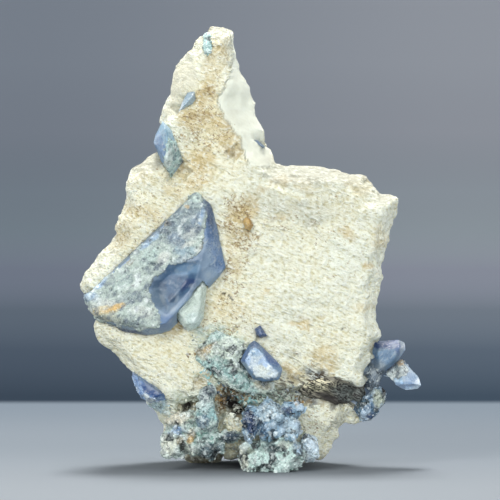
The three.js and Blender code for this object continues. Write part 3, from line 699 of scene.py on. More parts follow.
# Loose crystals on the rock: shade, how many, and where.
DUST_CHIPS = [
    ((206, 218, 200), 420, [(226, 350, 36, 18, 1, 20), (262, 393, 32, 11, 1, 14), (215, 330, 12, 6, 0.8)]),
    (TURQUOISE, 260, [(232, 384, 40, 9, 1, 24), (248, 401, 16, 6, 1, 8)]),
    (BROWN, 150, [(195, 353, 10, 6, 1), (232, 392, 26, 6, 1, 14), (206, 407, 14, 7, 0.8)]),
    (SLATE, 150, [(236, 394, 26, 7, 1, 14), (302, 394, 20, 6, 1, 14), (222, 398, 6, 8, 1)]),
    (ORANGE, 70, [(296, 404, 8, 4, 1), (222, 403, 5, 6, 1)]),
    ((196, 220, 224), 160, [(160, 404, 14, 6, 1, 30), (148, 403, 6, 5, 1, 50)]),
    (CREAM, 500, [(232, 414, 40, 14, 1, 8), (205, 412, 22, 10, 1, 20), (300, 400, 26, 10, 0.6, 10),
        (244, 440, 16, 14, 1)])]
DUST_SIZES = (0.25, 0.9)
DUST_SEED = 401


def seated(points, seats):
    """Draws the rims and walls of the seats onto the crystals that sit in them, so that no gap shows."""
    reach, end = SEAT_REACH
    for name in seats:
        mesh = nodes[name].data
        corners = [vertex.co / MM for vertex in mesh.vertices]
        tree = BVHTree.FromPolygons(corners, [tuple(face.vertices) for face in mesh.polygons])
        low = np.min(corners, axis=0) - end
        high = np.max(corners, axis=0) + end
        near = np.flatnonzero(((points > low) & (points < high)).all(axis=1))
        for index in near:
            place = Vector(points[index])
            hit, normal, _, distance = tree.find_nearest(place)
            share = float(1 - smooth_step(np.array([distance]), reach, end)[0])
            if share > 0:
                goal = hit - normal * SEAT_OVERLAP
                points[index] = place.lerp(goal, share)
    return points


def rock_relief(points, normals, places, coarse, rugged):
    """How far the rock's surface stands out: fibres, ridges and crystal faces."""
    fibred = turned(points, FIBRE_TURN, 4.0)
    fibres = noise(fibred, 0.55, 21) + 0.6 * noise(fibred, 1.3, 22)
    ridges = np.abs(noise(turned(points, FIBRE_TURN, 3.0), 2.0, 23))
    ridges = ridges + 0.8 * np.abs(noise(turned(points, FIBRE_TURN, 2.2), 1.0, 24))
    height = 0.22 * layered(points, 4.2, 31) + coarse * (0.08 * fibres - 0.28 * ridges)
    height += coarse * (0.10 * facets(points, 1.5, 41) + 0.06 * facets(points, 0.75, 42))
    height += rugged * (0.55 * facets(points, 2.1, 43) + 0.45 * facets(points, 1.1, 44))
    sideways = np.sqrt(np.clip(1 - normals[:, 1] ** 2, 0, 1))
    swell = ROCK_SWELL + LOBE_SWELL * spots(places, LOBES) - DENT_DEPTH * spots(places, DENTS)
    return height + sideways * swell


def rock_tints(points, places, front, top, faces):
    """Cream with buff, grey and tan areas and dust, and the back cream with ochre; painted shade on part of
    the grey, the shoulder, the feet and the tops.
    """
    back = 1 - front
    flank, shoulder = faces
    ragged = 0.85 + 0.5 * layered(points, 1.4, 53)
    tints = mixed(
        covered(points, CREAM),
        (BUFF, 0.25 + 0.35 * layered(points, 7.0, 51)),
        (BUFF, front * spots(places, BUFF_AREAS)),
        (GREY_GREEN, front * spots(places, GREY_AREAS) * (0.8 + 0.3 * layered(points, 1.6, 52))),
        (OCHRE, front * spots(places, TAN_AREAS) * ragged * 0.9),
        (BROWN, front * spots(places, BROWN_AREAS) * ragged * 0.6),
        (GREY_GREEN, back * smooth_step(layered(points, 9.0, 54), 0.1, 0.8) * 0.6),
        (OCHRE, back * smooth_step(layered(points, 6.0, 55), 0.15, 0.9) * 0.7),
        (FLANK_SHADE, front * flank),
        # painted shade on the shoulder
        (SHOULDER_PAINTED_SHADE, front * shoulder))
    tints = painted(tints, places, DUST_AND_FOOT_SHADE_AREAS, front * (0.9 + 0.7 * layered(points, 0.9, 56)))
    # Painted shade on the tops.
    return mixed(tints, (TOP_PAINTED_SHADE, TOP_PAINTED_SHADE_SHARE * top))


def natrolite_rock():
    """The cream matrix: sugary, with low streaks, smooth faces on the spire and hollows darkened with painted
    shade.
    """
    rock = fine_copy("natrolite_rock", "natrolite_matrix", ROCK_VOXEL, smoothing=10)
    points, normals = read_points(rock), read_normals(rock)
    front = facing_share(normals)
    places = wandering(picture_places(points), points)
    flank = smooth_step(inside_depth(places, FLANK), -1.5, 2.5)
    shoulder = smooth_step(inside_depth(places, SHOULDER), -2, 3)
    coarse = 1 - 0.85 * front * np.maximum(flank, 0.8 * shoulder)
    rugged = front * spots(places, RUGGED_AREAS)
    height = rock_relief(points, normals, places, coarse, rugged)
    points = points + normals * height[:, None]
    ragged_places = wandering(picture_places(points), points, reach=7.0)
    points[:, 1] += front * np.max([spot(ragged_places, *hole) for hole in HOLES], axis=0)
    write_points(rock, seated(points, [name for name in nodes if name != "natrolite_matrix"]))

    top = smooth_step(normals[:, 2], 0.15, 0.9)
    tints = rock_tints(points, places, front, top, (flank, shoulder))
    write_tint(rock, mixed(tints, (BROWN, rugged * smooth_step(-height, 0.05, 0.5) * 0.7)))
    write_value(rock, "rough", coarse * (1 - 0.6 * top))
    write_value(rock, "streaks", front * spots(places, STREAK_AREAS))
    specks = front * spots(places, SPECK_AREAS) * coarse + 0.04 * coarse + (1 - front) * 0.12
    write_value(rock, "specks", specks * (1 - 0.7 * top))
    # Painted shade in the hollows and dark slots.
    write_value(rock, "painted_shade", front * spots(ragged_places, HOLLOW_PAINTED_SHADE_AREAS))
    finish_piece(rock, natrolite_material(), "natrolite_matrix")
    return rock


def dust_on(rock):
    """Small crystals of blueschist and natrolite that cling to the rock around the crusts."""
    places = picture_places(read_points(rock))
    front = facing_share(read_normals(rock))
    heaps = []
    for number, (shade, count, marks) in enumerate(DUST_CHIPS):
        weight = front * spots(places, marks)
        tints = covered(places, shade)
        heaps.append(chips_on(rock, tints, weight, count, DUST_SIZES, DUST_SEED + number))
    points, tints, faces = joined(heaps)
    dust = new_piece("blueschist_dust", chip_mesh("blueschist_dust", points, faces))
    write_tint(dust, tints)
    finish_piece(dust, grainy_material("blueschist_dust", 0.25, 0.5, 0.3))


# ---- crystals

# The tops of the crystals are painted darker than their fronts: painted shade.
CRYSTAL_TOP_PAINTED_SHADE = 0.3
SKIN_LIFT = 0.05
SKIN_DEPTH = 0.22
# Streaks on the crystals run up to the right.
SKIN_TURN = -50
SKIN_CHIPS = (0.22, 0.62)
# Each skin and each cluster draws its own noise, with seeds this far apart.
SKIN_SEED = 71
CLUSTER_SEED = 211
SEED_STEP = 10
# Glass: its slot, the light that it lets through, how strongly it absorbs the rest, and its roughness.
GLASSES = {
    "deep": ("benitoite_blue", (0.05, 0.42, 0.68), 130, 0.42),
    "bright": ("benitoite_blue", (0.05, 0.48, 0.76), 220, 0.4),
    "pale": ("benitoite_pale", (0.50, 0.82, 0.86), 90, 0.2),
    "dark": ("benitoite_dark", (0.04, 0.26, 0.50), 420, 0.12),
}
# The names of these nodes and pieces all start with the mineral's.
MINERAL = "benitoite_"
# Each crystal's glass and body, and then the skin on it.
CRYSTALS = [
    ("deep", "main_crystal", dict(tint=(166, 194, 220), voxel=0.19, shades={
        (126, 164, 212): [(214, 238, 9, 38, 0.85, -14), (166, 322, 10, 8, 0.9, -45)],
        (74, 120, 162): [(178, 280, 27, 18, 0.95, -38)], (150, 192, 228): [(188, 270, 14, 5, 0.9, -12)],
        (112, 142, 166): [(157, 297, 9, 15, 0.9, 10)], (172, 188, 200): [(163, 300, 2.5, 10, 0.7, -28)],
        (34, 74, 134): [(187, 284, 10, 4, 0.95, -40), (209, 212, 4, 16, 0.6, -8)],
        (62, 98, 134): [(172, 297, 4, 5, 0.8, -40), (157, 284, 8, 3, 0.7)],
        (70, 92, 134): [(118, 331, 30, 4, 0.9, 11)]}, etched=[(214, 240, 12, 40, 0.65, -14),
        (120, 326, 40, 8, 0.6, 8), (192, 264, 12, 3, 0.4, -20)]),
        "skin", "main_skin", dict(tint=PALE_SKIN, relief=0.16, chips=560, chip_dark=0.55,
        outline=[(80, 301), (84, 294), (121, 265), (146, 242), (168, 221), (191, 196), (199, 191),
        (204, 200), (206, 222), (205, 240), (200, 255), (186, 262), (170, 267), (158, 275), (149, 288),
        (155, 303), (162, 314), (160, 328), (140, 330), (118, 326), (94, 318)], shades={
        (136, 154, 160): [(184, 222, 24, 17, 0.9, -40), (128, 299, 16, 6, 0.5, -20)],
        (198, 220, 212): [(150, 256, 12, 7, 0.7, -45), (195, 197, 6, 5, 0.8), (122, 282, 12, 6, 0.5, -40)],
        (130, 150, 170): [(197, 222, 6, 12, 0.8, 16), (176, 240, 9, 7, 0.8, 10),
        (184, 262, 14, 5, 0.6, -14)],
        (150, 180, 196): [(186, 251, 11, 6, 0.7), (160, 232, 18, 3, 0.5, -46)],
        WHITE_SKIN: [(165, 258, 9, 6, 0.8, -40), (190, 233, 9, 4, 0.6, -20), (104, 305, 14, 5, 0.7, -12),
        (143, 313, 12, 6, 0.5, 12), (188, 244, 8, 3, 0.7, -30), (200, 252, 3, 8, 0.6)],
        SKY: [(91, 297, 8, 5, 0.6), (150, 240, 16, 3, 0.6, -46), (100, 284, 10, 3, 0.7, -38),
        (203, 212, 3, 14, 0.5, 10)], (176, 174, 148): [(110, 317, 15, 4, 0.75, 10)],
        YELLOW: [(104, 311, 15, 4, 0.8, -6)],
        (226, 186, 112): [(117, 307, 10, 3, 0.95, -16), (108, 311, 8, 2, 0.8, -10), (187, 206, 3, 2, 0.7)],
        BROWN: [(167, 224, 4, 3, 0.9, -20), (131, 262, 5, 3, 0.5, -45)],
        DEEP_TEAL: [(154, 265, 6, 2.5, 0.95, 20), (140, 290, 3, 2, 0.5), (128, 320, 14, 2, 0.6, 14),
        (148, 300, 3, 8, 0.35, 10)]})),
    ("bright", "upper_left", dict(tint=(188, 230, 252), shades={
        # The dark mark at the lower right is a painted shadow.
        (120, 170, 224): [(162, 150, 5, 22, 0.8, -14)], (44, 58, 80): [(181, 168, 10, 4, 0.9, -53)]}),
        "skin", "upper_left_skin", dict(tint=(182, 210, 204), outline=[(168, 138), (178, 141), (186, 160),
        (178, 168), (170, 181), (163, 166), (165, 150)], shades={
        DEEP_TEAL: [(178, 150, 5, 10, 0.5, 20), (182, 160, 3, 5, 0.7), (175, 174, 5, 5, 0.4)],
        # The dark mark at the lower right is a painted shadow.
        WHITE_SKIN: [(169, 160, 4, 9, 0.6, 10)], (58, 70, 84): [(181, 167, 10, 3, 0.9, -53)]})),
    ("bright", "lower_middle", dict(tint=(150, 190, 230), shades={
        (84, 124, 196): [(271, 358, 4, 13, 0.9, -42), (244, 356, 4, 10, 0.8, 30)],
        (96, 132, 186): [(254, 345, 8, 4, 0.7, 30)]}),
        "frost", "lower_middle_skin", dict(tint=(192, 206, 214), relief=0.06, gaps=0.7,
        deeper=(150, 176, 206), chip_dark=0.8, outline=[(245, 362), (250, 350), (256, 347), (262, 352),
        (267, 361), (276, 369), (279, 376), (276, 379), (256, 378), (250, 371)], shades={
        (214, 222, 214): [(262, 372, 12, 6, 0.8, 20)], (140, 172, 200): [(256, 351, 8, 5, 0.9)],
        SKY: [(266, 362, 4, 6, 0.7, -40), (248, 360, 3, 6, 0.6)],
        GREY_GREEN: [(262, 367, 4, 3, 0.6, 30), (272, 372, 3, 2, 0.6, 40)]})),
    ("bright", "lower_left", dict(tint=(136, 182, 238), shades={
        (40, 92, 164): [(153, 391, 13, 6, 0.95, 32)],
        (190, 212, 244): [(134, 380, 5, 12, 0.8, -30), (150, 381, 14, 2, 0.7, 36)]}),
        "skin", "lower_left_skin", dict(tint=(160, 190, 226), chips=80, deeper=(84, 122, 176),
        chip_dark=0.6, outline=[(129, 372), (140, 378), (139, 386), (148, 396), (166, 398), (168, 404),
        (148, 407), (136, 396)], shades={
        WHITE_SKIN: [(155, 402, 9, 4, 0.8, 10)]})),
    ("bright", "head_crystal", dict(tint=(72, 112, 170), shades={
        (176, 206, 232): [(386, 362, 30, 18, 1)], (126, 166, 196): [(386, 356, 16, 12, 0.8)],
        (48, 88, 156): [(387, 345, 15, 4, 0.95, 2), (398, 350, 3, 6, 0.5)],
        (206, 218, 224): [(402, 347, 3, 8, 0.8)], (160, 174, 178): [(374, 372, 12, 12, 0.9)]}),
        "skin", "head_skin", dict(tint=SLATE, outline=[(360, 374), (374, 366), (384, 372), (382, 384),
        (374, 394), (360, 394)], shades={
        (160, 172, 180): [(374, 376, 4, 10, 0.8, -20)], INK: [(366, 388, 6, 5, 0.6)]})),
    ("pale", "arm_crystal", dict(tint=(222, 240, 255), shades={
        (160, 192, 236): [(404, 386, 12, 4, 0.8), (410, 378, 8, 4, 0.5, 50)]}),
        "skin", "arm_skin", dict(tint=(222, 230, 226), outline=[(383, 366), (396, 359), (404, 358),
        (409, 370), (400, 380), (390, 380)], shades={
        DEEP_TEAL: [(398, 368, 4, 4, 0.5), (388, 370, 6, 3, 0.5), (398, 380, 4, 2, 0.5)],
        ORANGE: [(401, 362, 4, 3, 0.8)]})),
    ("pale", "pale_fragment", dict(tint=(232, 242, 238), shades={}),
        "frost", "fragment_skin", dict(tint=(206, 220, 208), relief=0.05, gaps=0.9, chips=30,
        deeper=(176, 192, 182), chip_dark=0.85, outline=[(168, 308), (196, 278), (210, 274), (210, 314),
        (192, 334), (176, 322)], shades={
        (204, 224, 220): [(194, 320, 8, 8, 0.7)], (186, 202, 188): [(190, 300, 8, 9, 0.6, 30)]})),
    ("pale", "pale_sliver", dict(tint=(214, 240, 255), voxel=0.12, ripple=0.03, shades={})),
    ("dark", "spire_fleck", dict(tint=(150, 170, 190), voxel=0.12, ripple=0.03, shades={})),
    ("dark", "small_dark", dict(tint=(92, 120, 172), voxel=0.12, ripple=0.04, shades={})),
]


def crystal_body(material, slot, node, tint, shades, etched=(), voxel=0.15, ripple=0.07):
    """A see-through crystal: the node's solid with slightly etched faces."""
    body, points, normals, _ = in_relief(
        node + "_body", node, voxel, 1,
        lambda points: ripple * (layered(points, 1.6, 61) + 0.5 * facets(points, 0.9, 62)))
    places = wandering(picture_places(points), points, reach=2.0)
    tints = painted(covered(points, tint), places, shades, facing_share(normals))
    # Painted shade on the tops.
    tints *= 1 - CRYSTAL_TOP_PAINTED_SHADE * smooth_step(normals[:, 2], 0.2, 0.85)[:, None]
    write_tint(body, tints, "hue")
    write_value(body, "etched", 0.12 + spots(places, etched) if etched else np.full(len(points), 0.6))
    finish_piece(body, material, node)
    return body


def as_shell(piece, kept):
    """Keeps these vertices alone, as a thin closed shell."""
    builder = bmesh.new()
    builder.from_mesh(piece.data)
    dropped = [vertex for vertex, keep in zip(builder.verts, kept) if not keep]
    bmesh.ops.delete(builder, geom=dropped, context="VERTS")
    loose = [vertex for vertex in builder.verts if not vertex.link_faces]
    bmesh.ops.delete(builder, geom=loose, context="VERTS")
    builder.to_mesh(piece.data)
    builder.free()
    shell = piece.modifiers.new("Shell", "SOLIDIFY")
    shell.thickness = SKIN_DEPTH * MM
    shell.offset = -1
    settled(piece)


def crystal_skin(material, slot, body, name, seed, tint, outline, shades, relief=0.08, gaps=1.0, chips=90,
                 deeper=SLATE, chip_dark=0.44):
    """The pale rough skin on part of a crystal: a thin shell with ragged edges, holes and its own relief."""
    piece = new_piece(name, body.data.copy())
    for attribute in ("hue", "etched"):
        piece.data.attributes.remove(piece.data.attributes[attribute])
    points, normals = read_points(piece), read_normals(piece)
    places = picture_places(points)
    ragged = 2.6 * layered(points, 1.2, seed) + 1.6 * noise(points, 0.45, seed + 5)
    cover = np.minimum(inside_depth(places, outline), 3.0) + gaps * ragged
    kept = (cover > 0) & (normals[:, 1] < 0.15)
    faces = facets(points, 0.85, seed + 1) + 0.6 * facets(points, 0.42, seed + 2)
    height = np.maximum(SKIN_LIFT + relief * (0.6 + faces), 0.02) * smooth_step(cover, -0.2, 1.6)
    write_points(piece, points + normals * height[:, None])

    uneven = 0.85 + 0.4 * layered(points, 0.9, seed + 3)
    streaked = 0.6 * noise(turned(points, SKIN_TURN, 2.0), 0.4, seed + 8)
    streaked += 0.8 * layered(points, 1.3, seed + 9)
    tints = painted(covered(points, tint), wandering(places, points, reach=2.0), shades, uneven)
    # Low places between the skin's raised faces are darkened with painted shade.
    low = 1 - smooth_step(height, 0.02, SKIN_LIFT + relief * 0.5)
    write_tint(piece, mixed(
        tints,
        (CHIP_LIGHT, 0.85 * smooth_step(streaked, 0.15, 0.75)),
        (deeper, 0.8 * smooth_step(-streaked, 0.12, 0.75)),
        (deeper, 0.5 * low)))
    as_shell(piece, kept)
    tints = read(piece.data.attributes["tint"].data, "color", 4)[:, :3]
    outward = smooth_step(-read_normals(piece)[:, 1], 0.1, 0.4)
    write_tint(piece, with_chips(piece, tints, chips, SKIN_CHIPS, seed + 7, outward, chip_dark))
    finish_piece(piece, material)


def crystals():
    glasses = {name: glass_material(MINERAL + name, *recipe) for name, (_, *recipe) in GLASSES.items()}
    skins = {"skin": grainy_material("benitoite_skin", 0.24, 0.4, 0.22),
             "frost": grainy_material("benitoite_frost", 0.26, 0.3, 0.08)}
    for number, (glass, node, body, *skin) in enumerate(CRYSTALS):
        slot = GLASSES[glass][0]
        piece = crystal_body(glasses[glass], slot, MINERAL + node, **body)
        if skin:
            kind, name, settings = skin
            seed = SKIN_SEED + SEED_STEP * number
            crystal_skin(skins[kind], slot, piece, MINERAL + name, seed, **settings)


# ---- crusts and clusters

# Painted highlights on the raised tips of the clusters, and painted shade in the gaps between their lumps.
MINT_TIP_HIGHLIGHT = (230, 243, 238)
BLUE_TIP_HIGHLIGHT = (206, 228, 244)
GAP_PAINTED_SHADE = (22, 44, 50)
# Chips are how many, and their smallest and largest size.
CLUSTERS = [
    ("crust", "blueschist", "blueschist_crust_piece", "blueschist_crust", dict(voxel=0.18,
        base=(208, 220, 204), chips=(620, 0.25, 0.8), relief=0.45, painted_shade=[(226, 392, 9, 3, 0.9, 25),
        (251, 377, 5, 3, 0.9, 20)], shades={
        (168, 206, 200): [(216, 368, 28, 8, 0.9, 22), (242, 384, 18, 8, 0.85, 34), (214, 336, 12, 6, 0.7)],
        (206, 176, 124): [(208, 350, 6, 4, 0.8, -40), (203, 358, 4, 3, 0.5)],
        (222, 232, 216): [(236, 344, 18, 8, 0.6, 10), (248, 400, 16, 5, 0.5, 10)],
        BROWN: [(199, 351, 6, 6, 0.7), (213, 346, 6, 2, 0.7, -40), (224, 388, 8, 3, 0.6, 30),
        (262, 384, 12, 4, 0.5, 20)],
        TEAL: [(224, 360, 12, 3, 0.7, 16), (246, 374, 8, 5, 0.6, 40), (208, 344, 12, 3, 0.4, -20)],
        DEEP_TEAL: [(244, 366, 4, 6, 0.7, -40), (222, 348, 8, 2, 0.5, 20), (236, 371, 6, 2, 0.5, 30)]})),
    ("crust", "blueschist", "blueschist_left_cluster_piece", "blueschist_left_cluster", dict(voxel=0.20,
        base=(194, 216, 206), chips=(600, 0.25, 1.1), relief=0.8, painted_shade=[(183, 447, 3, 7, 0.9),
        (196, 450, 4, 5, 0.6)], shades={
        (228, 220, 196): [(174, 417, 20, 9, 0.9)],
        (160, 206, 208): [(208, 412, 12, 8, 0.7), (224, 417, 10, 6, 0.7)],
        (88, 118, 150): [(203, 421, 7, 6, 0.7)],
        (40, 62, 82): [(207, 391, 9, 13, 0.92, 20), (231, 437, 15, 7, 0.97, -20)],
        DEEP_TEAL: [(213, 426, 11, 2, 0.85, -22), (206, 444, 6, 8, 0.5)],
        (110, 160, 148): [(206, 438, 12, 8, 0.7), (192, 424, 8, 5, 0.5)],
        (58, 88, 106): [(211, 452, 13, 9, 0.8)], (170, 204, 246): [(175, 432, 10, 5, 0.95, -10)],
        CREAM: [(168, 446, 10, 13, 0.95), (188, 450, 5, 6, 0.7)],
        (214, 180, 120): [(191, 436, 5, 8, 0.9, 10), (219, 401, 4, 7, 0.7, 10)],
        BROWN: [(180, 441, 4, 6, 0.7), (196, 432, 2, 6, 0.5)]})),
    ("blue", "benitoite_blue", "benitoite_lower_column_piece", "benitoite_lower_column", dict(voxel=0.20,
        base=(146, 182, 204), chips=(460, 0.3, 1.4), relief=0.8, tip_highlight=BLUE_TIP_HIGHLIGHT,
        painted_shade=[(277, 440, 6, 3, 0.95, 10)], shades={
        (84, 126, 162): [(258, 428, 12, 12, 0.8, -20)],
        (206, 226, 234): [(271, 412, 14, 8, 0.85), (291, 428, 8, 10, 0.8)],
        NAVY: [(247, 419, 8, 18, 0.95, -22), (289, 411, 5, 4, 0.9)],
        (70, 108, 112): [(268, 447, 13, 7, 0.75)], ORANGE: [(297, 403, 5, 3, 0.8)]})),
    ("mint", "mint_crust", "mint_crust_piece", "blueschist_mint_crust", dict(voxel=0.20,
        base=(212, 238, 230), chips=(480, 0.25, 1.0), relief=0.7, shades={
        DEEP_TEAL: [(272, 448, 12, 5, 0.8, -10), (296, 461, 5, 4, 0.7), (276, 462, 3, 5, 0.5)],
        CREAM: [(240, 457, 8, 15, 1, -20), (286, 444, 9, 5, 0.6)],
        (150, 150, 128): [(248, 450, 7, 4, 0.8, 20)], (176, 202, 228): [(300, 446, 7, 10, 0.8)]})),
    ("crust", "blueschist", "blue_white_lump_piece", "blueschist_blue_white_lump", dict(voxel=0.18,
        base=(226, 244, 254), chips=(110, 0.3, 1.1), relief=0.28, chip_dark=0.8, tip_highlight=BLUE_TIP_HIGHLIGHT, shades={
        WHITE_SKIN: [(304, 456, 6, 7, 0.6)]})),
    ("mint", "mint_crust", "top_patch_piece", "blueschist_top_patch", dict(voxel=0.12,
        base=(190, 226, 220), chips=(70, 0.25, 0.7), relief=0.5, shades={
        TEAL: [(208, 50, 5, 6, 0.5)]})),
    ("blue", "benitoite_dark", "benitoite_lower_right_piece", "benitoite_lower_right", dict(voxel=0.18,
        base=(78, 112, 140), chips=(170, 0.2, 0.6), relief=0.24, chip_dark=0.6, tip_highlight=BLUE_TIP_HIGHLIGHT,
        painted_shade=[(384, 390, 3, 5, 1), (354, 402, 3, 10, 0.5)], shades={
        SLATE: [(366, 388, 10, 6, 0.8)], (112, 152, 182): [(360, 403, 6, 8, 0.7)],
        (28, 62, 104): [(369, 417, 8, 5, 0.9)],
        (186, 194, 172): [(379, 400, 6, 9, 0.9, -20), (371, 392, 6, 3, 0.8)]})),
]


def cluster(material, slot, name, node, seed, voxel, base, shades, chips, relief, painted_shade=(), chip_dark=0.44,
            tip_highlight=MINT_TIP_HIGHLIGHT):
    """A heap of small crystals: lumps and flat faces, painted colours, painted shade in the gaps, painted
    highlights on the tips, and chips.
    """
    def lumps(points):
        coarse, fine = facets(points, 1.9, seed), facets(points, 0.8, seed + 1)
        return relief * (0.35 * layered(points, 2.6, seed + 2) + 0.60 * coarse + 0.28 * fine)

    piece, points, normals, height = in_relief(name, node, voxel, 6, lumps)
    front = facing_share(normals)
    places = wandering(picture_places(points), points, reach=2.5)
    # Painted shade in the gaps and dark slots, and a painted highlight on the raised tips.
    tints = mixed(
        painted(covered(points, base), places, shades, front),
        (GAP_PAINTED_SHADE, 0.95 * smooth_step(-height, 0.10 * relief, 0.42 * relief)),
        (tip_highlight, 0.65 * smooth_step(height, 0.08 * relief, 0.4 * relief)),
        (HOLLOW_PAINTED_SHADE, front * spots(places, painted_shade)))
    count, *sizes = chips
    write_tint(piece, with_chips(piece, tints, count, sizes, seed + 5, dark=chip_dark))
    finish_piece(piece, material, node)


def clusters():
    looks = {
        "crust": grainy_material("blueschist_crust", 0.30, 0.5),
        "mint": grainy_material("mint_crust", 0.32, 0.45, 0.4),
        "blue": grainy_material("benitoite_cluster", 0.40, 0.3, 0.4),
    }
    for number, (look, slot, name, node, settings) in enumerate(CLUSTERS):
        cluster(looks[look], slot, name, node, CLUSTER_SEED + SEED_STEP * number, **settings)


# ---- the dark ledge and the tan grain

# The ledge swells towards the crystals at its right end.
LEDGE_VOXEL = 0.18
LEDGE_TURN = 22
LEDGE_STRETCH = 6.0
LEDGE_SWELL = 1.0
LEDGE_END = (361, 392, 9, 9)
LEDGE_SHADE = (132, 128, 112)
LEDGE_FIBRES = (212, 206, 186)
LEDGE_SHADES = {
    BUFF: [(310, 381, 20, 8, 0.95, 22), (334, 386, 12, 4, 0.5, 20)],
    (112, 120, 116): [(350, 396, 18, 9, 0.9, 22)]}
# Painted shade under the ledge and at its lower end.
LEDGE_PAINTED_SHADE = [(336, 402, 18, 6, 0.85, 26), (322, 394, 8, 3, 0.7, 24)]
GRAIN_VOXEL = 0.10
GRAIN_RELIEF = 0.05
GRAIN_SHADES = ((216, 184, 116), (158, 122, 62))


def fibrous_ledge():
    """The dark ledge under the slab: long fibres that run down to the right."""
    ledge = fine_copy("fibrous_ledge", "fibrous_seam", LEDGE_VOXEL, smoothing=3)
    points, normals = read_points(ledge), read_normals(ledge)
    fibred = turned(points, LEDGE_TURN, LEDGE_STRETCH)
    fibres = noise(fibred, 0.5, 281) + 0.7 * noise(fibred, 0.24, 282)
    height = 0.2 * fibres + 0.12 * layered(points, 1.6, 283)
    height += LEDGE_SWELL * spot(picture_places(points), *LEDGE_END)
    write_points(ledge, points + normals * height[:, None])
    tints = mixed(covered(points, LEDGE_SHADE), (LEDGE_FIBRES, smooth_step(fibres, 0.3, 1.0)))
    places = wandering(picture_places(points), points, reach=2.5)
    write_tint(ledge, painted(tints, places, LEDGE_SHADES, 1.0))
    write_value(ledge, "painted_shade", spots(places, LEDGE_PAINTED_SHADE))
    finish_piece(ledge, fibre_material(), "fibrous_seam")


def tan_grain():
    """The golden brown joaquinite grain."""
    grain = fine_copy("joaquinite_grain_piece", "joaquinite_grain", GRAIN_VOXEL, smoothing=1)
    points, normals = read_points(grain), read_normals(grain)
    height = GRAIN_RELIEF * facets(points, 0.5, 291)
    write_points(grain, points + normals * height[:, None])
    light, dark = GRAIN_SHADES
    write_tint(grain, mixed(covered(points, light), (dark, 0.5 + 0.6 * layered(points, 0.7, 292))))
    finish_piece(grain, grainy_material("joaquinite", 0.3, 0.5, 0.2), "joaquinite_grain")


# ---- stage, light and camera

FLOOR_REACH = 60.0
BOARD_HALF = 125.0
BOARD_EDGE = 12.0
# The board is painted lighter at the front and darker towards its back and edges: painted light and shade.
BOARD_NEAR = (125, 130, 134)
BOARD_MIDDLE = (109, 116, 122)
BOARD_FAR = (98, 107, 115)
# Where the board's near shade has turned to the middle one.
BOARD_TURN = 45
# The floor behind the board: its painted light and shade at each distance, dark behind the object and lighter
# far away, and how much darker it is painted far to the left.
BEHIND_SHADES = [
    (140, (32, 45, 57)), (260, (58, 68, 79)), (394, (88, 96, 105)), (566, (135, 139, 150)),
    (795, (178, 187, 191)), (1100, (210, 217, 220)), (1900, (240, 240, 242)), (4500, (250, 250, 251)),
]
BEHIND_LEFT = (210.08, 216.46, 222.61)
NO_CHANGE = (255, 255, 255)
BEHIND_SPREAD = 0.05
BEHIND_START = 800.0
ROOM_SHADE = (214, 222, 234)
ROOM_LIGHT = 0.42
# Soft square lamps: azimuth and elevation in degrees, distance, size, power and colour. Azimuth 0 is the
# picture's side.
LAMPS = {
    "key": (-34, 30, 600, 170, 1.85, (1.0, 0.99, 0.96)),
    "fill": (38, 10, 650, 420, 1.4, (0.97, 0.99, 1.0)),
    "low": (0, 3, 620, 300, 1.5),
    "top_back": (180, 75, 560, 170, 4.9),
    "top_front": (0, 84, 560, 200, 0.8),
    "rim_left": (-125, 5, 520, 260, 1.0),
    "rim_right": (125, 5, 520, 260, 1.0),
}


def behind_shade(shader, side):
    """The floor's painted light and shade by its distance from the object."""
    first, last = (math.log10(BEHIND_SHADES[end][0]) for end in (0, -1))
    share = shader.math("SUBTRACT", shader.math("LOGARITHM", side, 10.0), first)
    ramp = shader.add("ShaderNodeValToRGB", {"Fac": shader.math("DIVIDE", share, last - first)})
    shades = ramp.color_ramp.elements
    while len(shades) < len(BEHIND_SHADES):
        shades.new(1.0)
    for element, (distance, shade) in zip(shades, BEHIND_SHADES):
        element.position = (math.log10(distance) - first) / (last - first)
        element.color = (*linear(shade), 1)
    return ramp.outputs["Color"]


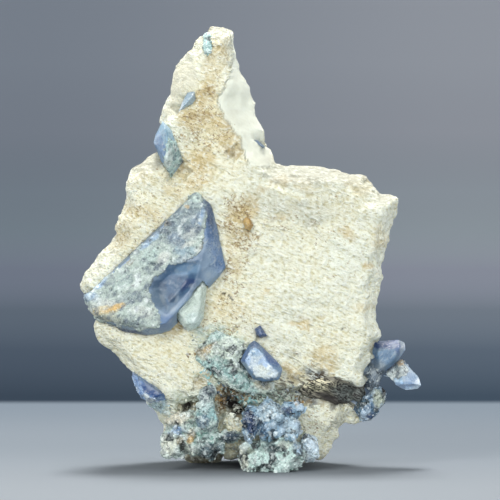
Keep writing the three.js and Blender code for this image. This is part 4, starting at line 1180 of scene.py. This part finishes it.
def stage():
    """A pale floor painted with light and shade: lighter at the front, dark behind the object, grey far away
    and darker far to the left; in a soft grey room.
    """
    mesh = bpy.data.meshes.new("floor")
    # Two halves, six corners: with four, Blender 4.5's Cycles reads no colours on two of the pieces.
    corners = [(x, y, 0) for y in (-FLOOR_REACH, FLOOR_REACH) for x in (-FLOOR_REACH, 0, FLOOR_REACH)]
    mesh.from_pydata(corners, [], [(0, 1, 4, 3), (1, 2, 5, 4)])
    floor = new_piece("floor", mesh)
    shader = Shader("floor")
    place = shader.add("ShaderNodeSeparateXYZ", {"Vector": shader.place}).outputs
    side = shader.math("MAXIMUM", *(shader.math("ABSOLUTE", place[axis]) for axis in "XY"))
    across = shader.math("DIVIDE", place["X"], shader.math("ADD", side, BEHIND_START))
    leftward = shader.mix(shader.between(across, -BEHIND_SPREAD, BEHIND_SPREAD), BEHIND_LEFT, NO_CHANGE)
    behind = shader.mix(1.0, behind_shade(shader, side), leftward, "MULTIPLY")
    shader.base = shader.mix(shader.between(place["Y"], -BOARD_TURN, BOARD_TURN), BOARD_NEAR, BOARD_MIDDLE)
    shader.paint(BOARD_FAR, side, BOARD_TURN, BOARD_HALF)
    shader.paint(behind, side, BOARD_HALF - BOARD_EDGE / 2, BOARD_HALF + BOARD_EDGE / 2)
    mesh.materials.append(shader.finished(Roughness=0.9, Specular_IOR_Level=0.1))
    world = bpy.data.worlds.new("room")
    world.use_nodes = True
    background = world.node_tree.nodes["Background"]
    background.inputs["Color"].default_value = (*linear(ROOM_SHADE), 1)
    background.inputs["Strength"].default_value = ROOM_LIGHT
    bpy.context.scene.world = world


def aimed(name, data, azimuth, elevation, distance):
    """A lamp or camera that looks at the middle of the object."""
    holder = new_piece(name, data)
    turn, rise = math.radians(azimuth), math.radians(elevation)
    direction = Vector((math.sin(turn) * math.cos(rise), -math.cos(turn) * math.cos(rise), math.sin(rise)))
    holder.location = (Vector(CAMERA_AIM) + direction * distance) * MM
    holder.rotation_euler = direction.to_track_quat("Z", "Y").to_euler()
    return holder


def lamps():
    for name, (azimuth, elevation, distance, size, power, *shade) in LAMPS.items():
        light = bpy.data.lights.new(name, "AREA")
        light.energy = power
        light.size = size * MM
        light.color = shade[0] if shade else (1, 1, 1)
        aimed(name, light, azimuth, elevation, distance).visible_camera = False


def camera():
    view = bpy.data.cameras.new("camera")
    view.sensor_width = SENSOR
    view.lens = FOCAL_PIXELS * SENSOR / PICTURE
    view.clip_start, view.clip_end = CAMERA_CLIP
    bpy.context.scene.camera = aimed("camera", view, 0, CAMERA_RISE, CAMERA_DISTANCE)
    bpy.context.scene.view_settings.view_transform = "Standard"


camera()
stage()
lamps()
dust_on(natrolite_rock())
crystals()
clusters()
fibrous_ledge()
tan_grain()
